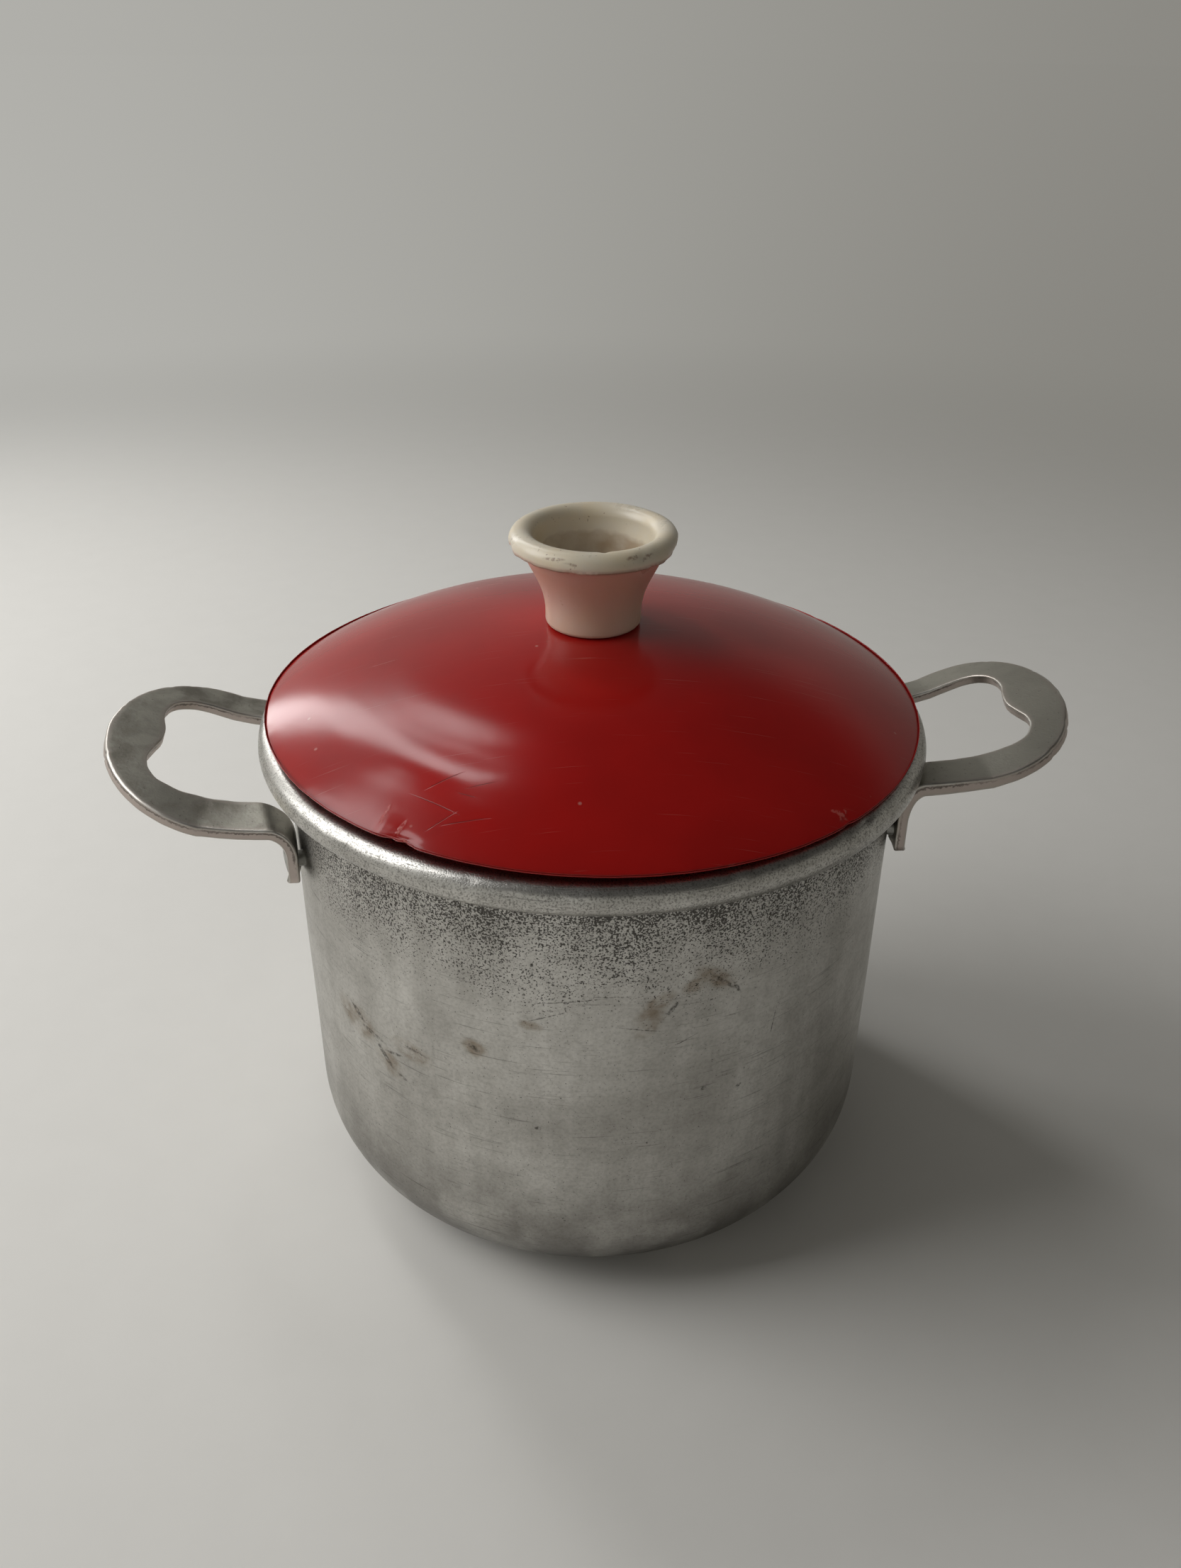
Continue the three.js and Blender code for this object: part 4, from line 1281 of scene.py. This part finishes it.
def knob_profile():
    """Seat on the dome, stem, flare, rounded lip, and the cup's side and floor."""
    knob = settings().knob
    hole = settings().lid.hole
    low = KNOB_LOW.z
    bead = (knob.lip - knob.bead, KNOB_HIGH.z - knob.bead)
    seat = [(r, dome_height(r) + SEAT) for r in (hole, knob.base - knob.rounding)]
    corner_height = 0.2 * MM
    end_out, end_drop = 0.05 * MM, 0.35 * MM
    pull_in, pull_up = 0.3 * MM, 0.4 * MM
    corner = arc((knob.base - knob.rounding, low + corner_height), knob.rounding, -90, 0, 6)
    round_lip = arc(bead, knob.bead, knob.lip_edge, 180, 40)
    flare_end = (bead[0] + end_out, round_lip[0][1] - end_drop)
    flare = bezier((knob.base, low + knob.stem), (knob.base + knob.draft, low + knob.waist),
                   (bead[0] - knob.flare_inset - pull_in, low + knob.flare + pull_up), flare_end, 40)
    ledge = line(flare_end, round_lip[0], 8)
    mouth = (bead[0] - knob.bead, bead[1])
    cup = bezier(mouth, (mouth[0] - knob.cup_taper, (bead[1] + low + knob.floor) / 2),
                 (knob.floor_radius, low + knob.floor + knob.cup_rounding),
                 (knob.floor_radius - knob.cup_rounding / 2, low + knob.floor), 24)
    return [*seat, *corner[1:], *flare, *ledge, *round_lip, *cup[1:], (hole, low + knob.floor)]


# Damage to the knob's lip: degrees round it, angle on the bead, width and depth in millimetres
KNOB_CHIPS = (
    (-12.0, -24, 2.8, 0.75),
    (5.0, -20, 2.4, 0.6),
    (-172.0, -22, 0.8, 0.4),
    (-86.0, 120, 0.45, 0.16),
    (-118.0, 35, 1.6, 0.07),
    (-60.0, 30, 0.5, 0.12),
    (-45.0, 45, 0.4, 0.1),
    (100.0, 30, 1.2, 0.2),
)


def wear_knob(place, normal):
    """A lip that wanders slightly, chips in it, and mould flash under it."""
    knob = settings().knob
    reach = math.hypot(place.x, place.y)
    across = reach - (knob.lip - knob.bead)
    up = place.z - (KNOB_HIGH.z - knob.bead)
    on_bead = math.degrees(math.atan2(up, across))
    lip = ease(math.hypot(across, up), 1.6 * knob.bead, 1.05 * knob.bead)
    unevenness = 0.12 * MM
    chip_spread = 34
    seam_spread = 7
    wander = (0.5 + 0.5 * rough(place, 5 * MM, layer=13.0)) * unevenness
    move = -normal * wander * lip
    for degrees, bead_angle, width, depth in KNOB_CHIPS:
        near = math.exp(-(arc_from(place, degrees) / (width * MM)) ** 2)
        spread = math.exp(-((on_bead - bead_angle) / chip_spread) ** 2)
        grain = 0.8 + 0.4 * rough(place, 0.6 * MM, layer=17.0)
        move -= normal * near * spread * depth * MM * grain * lip
    seam = math.exp(-((on_bead - knob.lip_edge) / seam_spread) ** 2)
    seam *= ease(rough(place, 1.6 * MM, layer=19.0), -0.2, 0.4)
    return move + normal * knob.flash * seam * lip


class TOYPOT_OT_knob(bpy.types.Operator):
    """Builds the moulded knob"""

    bl_idname = "toy_pot.knob"
    bl_label = "Moulded Knob"

    def execute(self, context):
        profile = knob_profile()
        piece = turn("knob_cup", profile + profile[:1], settings().knob.facets, moulded_cream())
        shift(piece.data, wear_knob)
        settle(piece, "lid", "cream_plastic", "knob")
        return {"FINISHED"}


def pin_profile():
    """Tail under the washer, shank, and a pan head in the knob's cup."""
    rivet = settings().rivet
    head = PIN_HIGH.y
    head_seat = KNOB_LOW.z + settings().knob.floor + SEAT
    tail_seat = WASHER_LOW.z - SEAT
    crown = PIN_HIGH.z - head_seat - rivet.pin_rim
    spread = tail_seat - PIN_LOW.z
    steps = 12
    quarter = [math.pi / 2 * i / steps for i in range(steps + 1)]
    return [
        *((rivet.pin_tail * math.sin(angle), tail_seat - spread * math.cos(angle)) for angle in quarter),
        (rivet.pin, tail_seat),
        (rivet.pin, head_seat),
        (head, head_seat),
        *((head * math.cos(angle), head_seat + rivet.pin_rim + crown * math.sin(angle)) for angle in quarter),
    ]


def washer_profile():
    """A flat ring with a slightly rounded edge."""
    hole = settings().lid.hole
    outer = WASHER_HIGH.y
    half = (WASHER_HIGH.z - WASHER_LOW.z) / 2
    middle = WASHER_LOW.z + half
    edge = 0.25 * MM
    rim = arc((outer - edge, middle - half + edge), edge, -90, 0, 4)
    rim += arc((outer - edge, middle + half - edge), edge, 0, 90, 4)
    return [(hole, middle - half), *rim, (hole, middle + half), (hole, middle - half)]


class TOYPOT_OT_fastening(bpy.types.Operator):
    """Builds the rivet and washer that hold the knob"""

    bl_idname = "toy_pot.fastening"
    bl_label = "Knob Rivet and Washer"

    def execute(self, context):
        finish = rivet_aluminium()
        facets = settings().rivet.facets
        pin = turn("knob_pin", pin_profile(), facets, finish)
        settle(pin, "lid", "rivet_aluminium", "knob_rivet")
        washer = turn("knob_washer_disc", washer_profile(), 2 * facets, finish)
        settle(washer, "lid", "rivet_aluminium", "knob_washer")
        return {"FINISHED"}


# Stage


def paper_floor():
    """A wide flat disc of paper under the pot."""
    reach = 4.0
    facets = 96
    places = [(reach * math.cos(math.tau * i / facets), reach * math.sin(math.tau * i / facets), 0.0)
              for i in range(facets)]
    mesh = bpy.data.meshes.new("paper_floor")
    mesh.from_pydata(places, [], [tuple(range(facets))])
    mesh.materials.append(studio_paper())
    return new_object("paper_floor", mesh)


def soft_lamp(name, direction, distance, size, power, aim):
    """An area lamp that faces the aim from that direction and stays out of the camera's sight."""
    lamp = bpy.data.lights.new(name, "AREA")
    lamp.shape = "RECTANGLE"
    lamp.size, lamp.size_y = size
    lamp.energy = power
    holder = new_object(name, lamp)
    toward = Vector(direction).normalized()
    holder.location = aim + toward * distance
    holder.rotation_euler = toward.to_track_quat("Z", "Y").to_euler()
    holder.visible_camera = False


class TOYPOT_OT_stage(bpy.types.Operator):
    """Sets up the floor, the soft light and the camera"""

    bl_idname = "toy_pot.stage"
    bl_label = "Stage"

    def execute(self, context):
        stage = settings().stage
        scene = context.scene
        scene.view_settings.view_transform = "Standard"
        paper_floor()
        low, high = CAD_BOX
        middle = (low + high) / 2
        soft_lamp("window", (-0.8, 0.02, 0.6), 0.4, (0.28, 0.28), stage.window_power, middle)
        soft_lamp("window_pane", (-0.49, 0.62, 0.61), 0.36, (0.05, 0.42), stage.pane_power, middle)
        soft_lamp("front_fill", (-0.2, -0.6, 0.8), 0.8, (0.8, 0.8), stage.fill_power, middle)

        world = bpy.data.worlds.new("soft_surround")
        world.use_nodes = True
        tree = world.node_tree
        way = add(tree, "ShaderNodeTexCoord").outputs["Generated"]
        from_window = (0.7, -0.45, 0.55)
        away = add(tree, "ShaderNodeVectorMath", {0: way, 1: from_window}, operation="DOT_PRODUCT")
        darker = ramp(tree, away.outputs["Value"], -0.6, 0.4, smooth=True)
        level = paint(tree, darker, stage.bright_side, stage.dark_side)
        up = add(tree, "ShaderNodeSeparateXYZ", {0: way}).outputs["Z"]
        low_down = ramp(tree, up, 0.6, 0.36, smooth=True)
        surround = paint(tree, low_down, level, surround_tone(tree, way))
        feed(tree, tree.nodes["Background"], Color=surround)
        scene.world = world

        camera = bpy.data.cameras.new("photo_camera")
        camera.sensor_width = SENSOR
        camera.lens = FOCAL_PIXELS * SENSOR / PHOTO_HEIGHT
        camera.clip_start = 0.01
        holder = new_object("photo_camera", camera)
        aim = Matrix.Rotation(stage.heading, 4, "Z") @ Matrix.Rotation(math.pi / 2 - stage.pitch, 4, "X")
        aim = aim @ Matrix.Rotation(stage.roll, 4, "Z")
        holder.matrix_world = Matrix.Translation(Vector(stage.eye)) @ aim
        scene.camera = holder
        return {"FINISHED"}


# Registration

BUILDERS = (TOYPOT_OT_pot, TOYPOT_OT_handles, TOYPOT_OT_rivets, TOYPOT_OT_lid, TOYPOT_OT_knob,
            TOYPOT_OT_fastening, TOYPOT_OT_stage)


class TOYPOT_PT_sidebar(bpy.types.Panel):
    """Lists the pieces of the toy pot"""

    bl_label = "Toy Pot"
    bl_idname = "TOYPOT_PT_sidebar"
    bl_space_type = "VIEW_3D"
    bl_region_type = "UI"
    bl_category = "Toy Pot"

    def draw(self, context):
        for builder in BUILDERS:
            self.layout.operator(builder.bl_idname)


CLASSES = (PotSettings, HandleSettings, RivetSettings, LidSettings, KnobSettings, StageSettings, ToyPotSettings,
           *BUILDERS, TOYPOT_PT_sidebar)


def register():
    for item in CLASSES:
        bpy.utils.register_class(item)
    bpy.types.Scene.toy_pot = PointerProperty(type=ToyPotSettings)


def unregister():
    del bpy.types.Scene.toy_pot
    for item in reversed(CLASSES):
        bpy.utils.unregister_class(item)


def main():
    register()
    bpy.ops.toy_pot.pot()
    bpy.ops.toy_pot.handles()
    bpy.ops.toy_pot.rivets()
    bpy.ops.toy_pot.lid()
    bpy.ops.toy_pot.knob()
    bpy.ops.toy_pot.fastening()
    bpy.ops.toy_pot.stage()


if __name__ == "__main__":
    main()
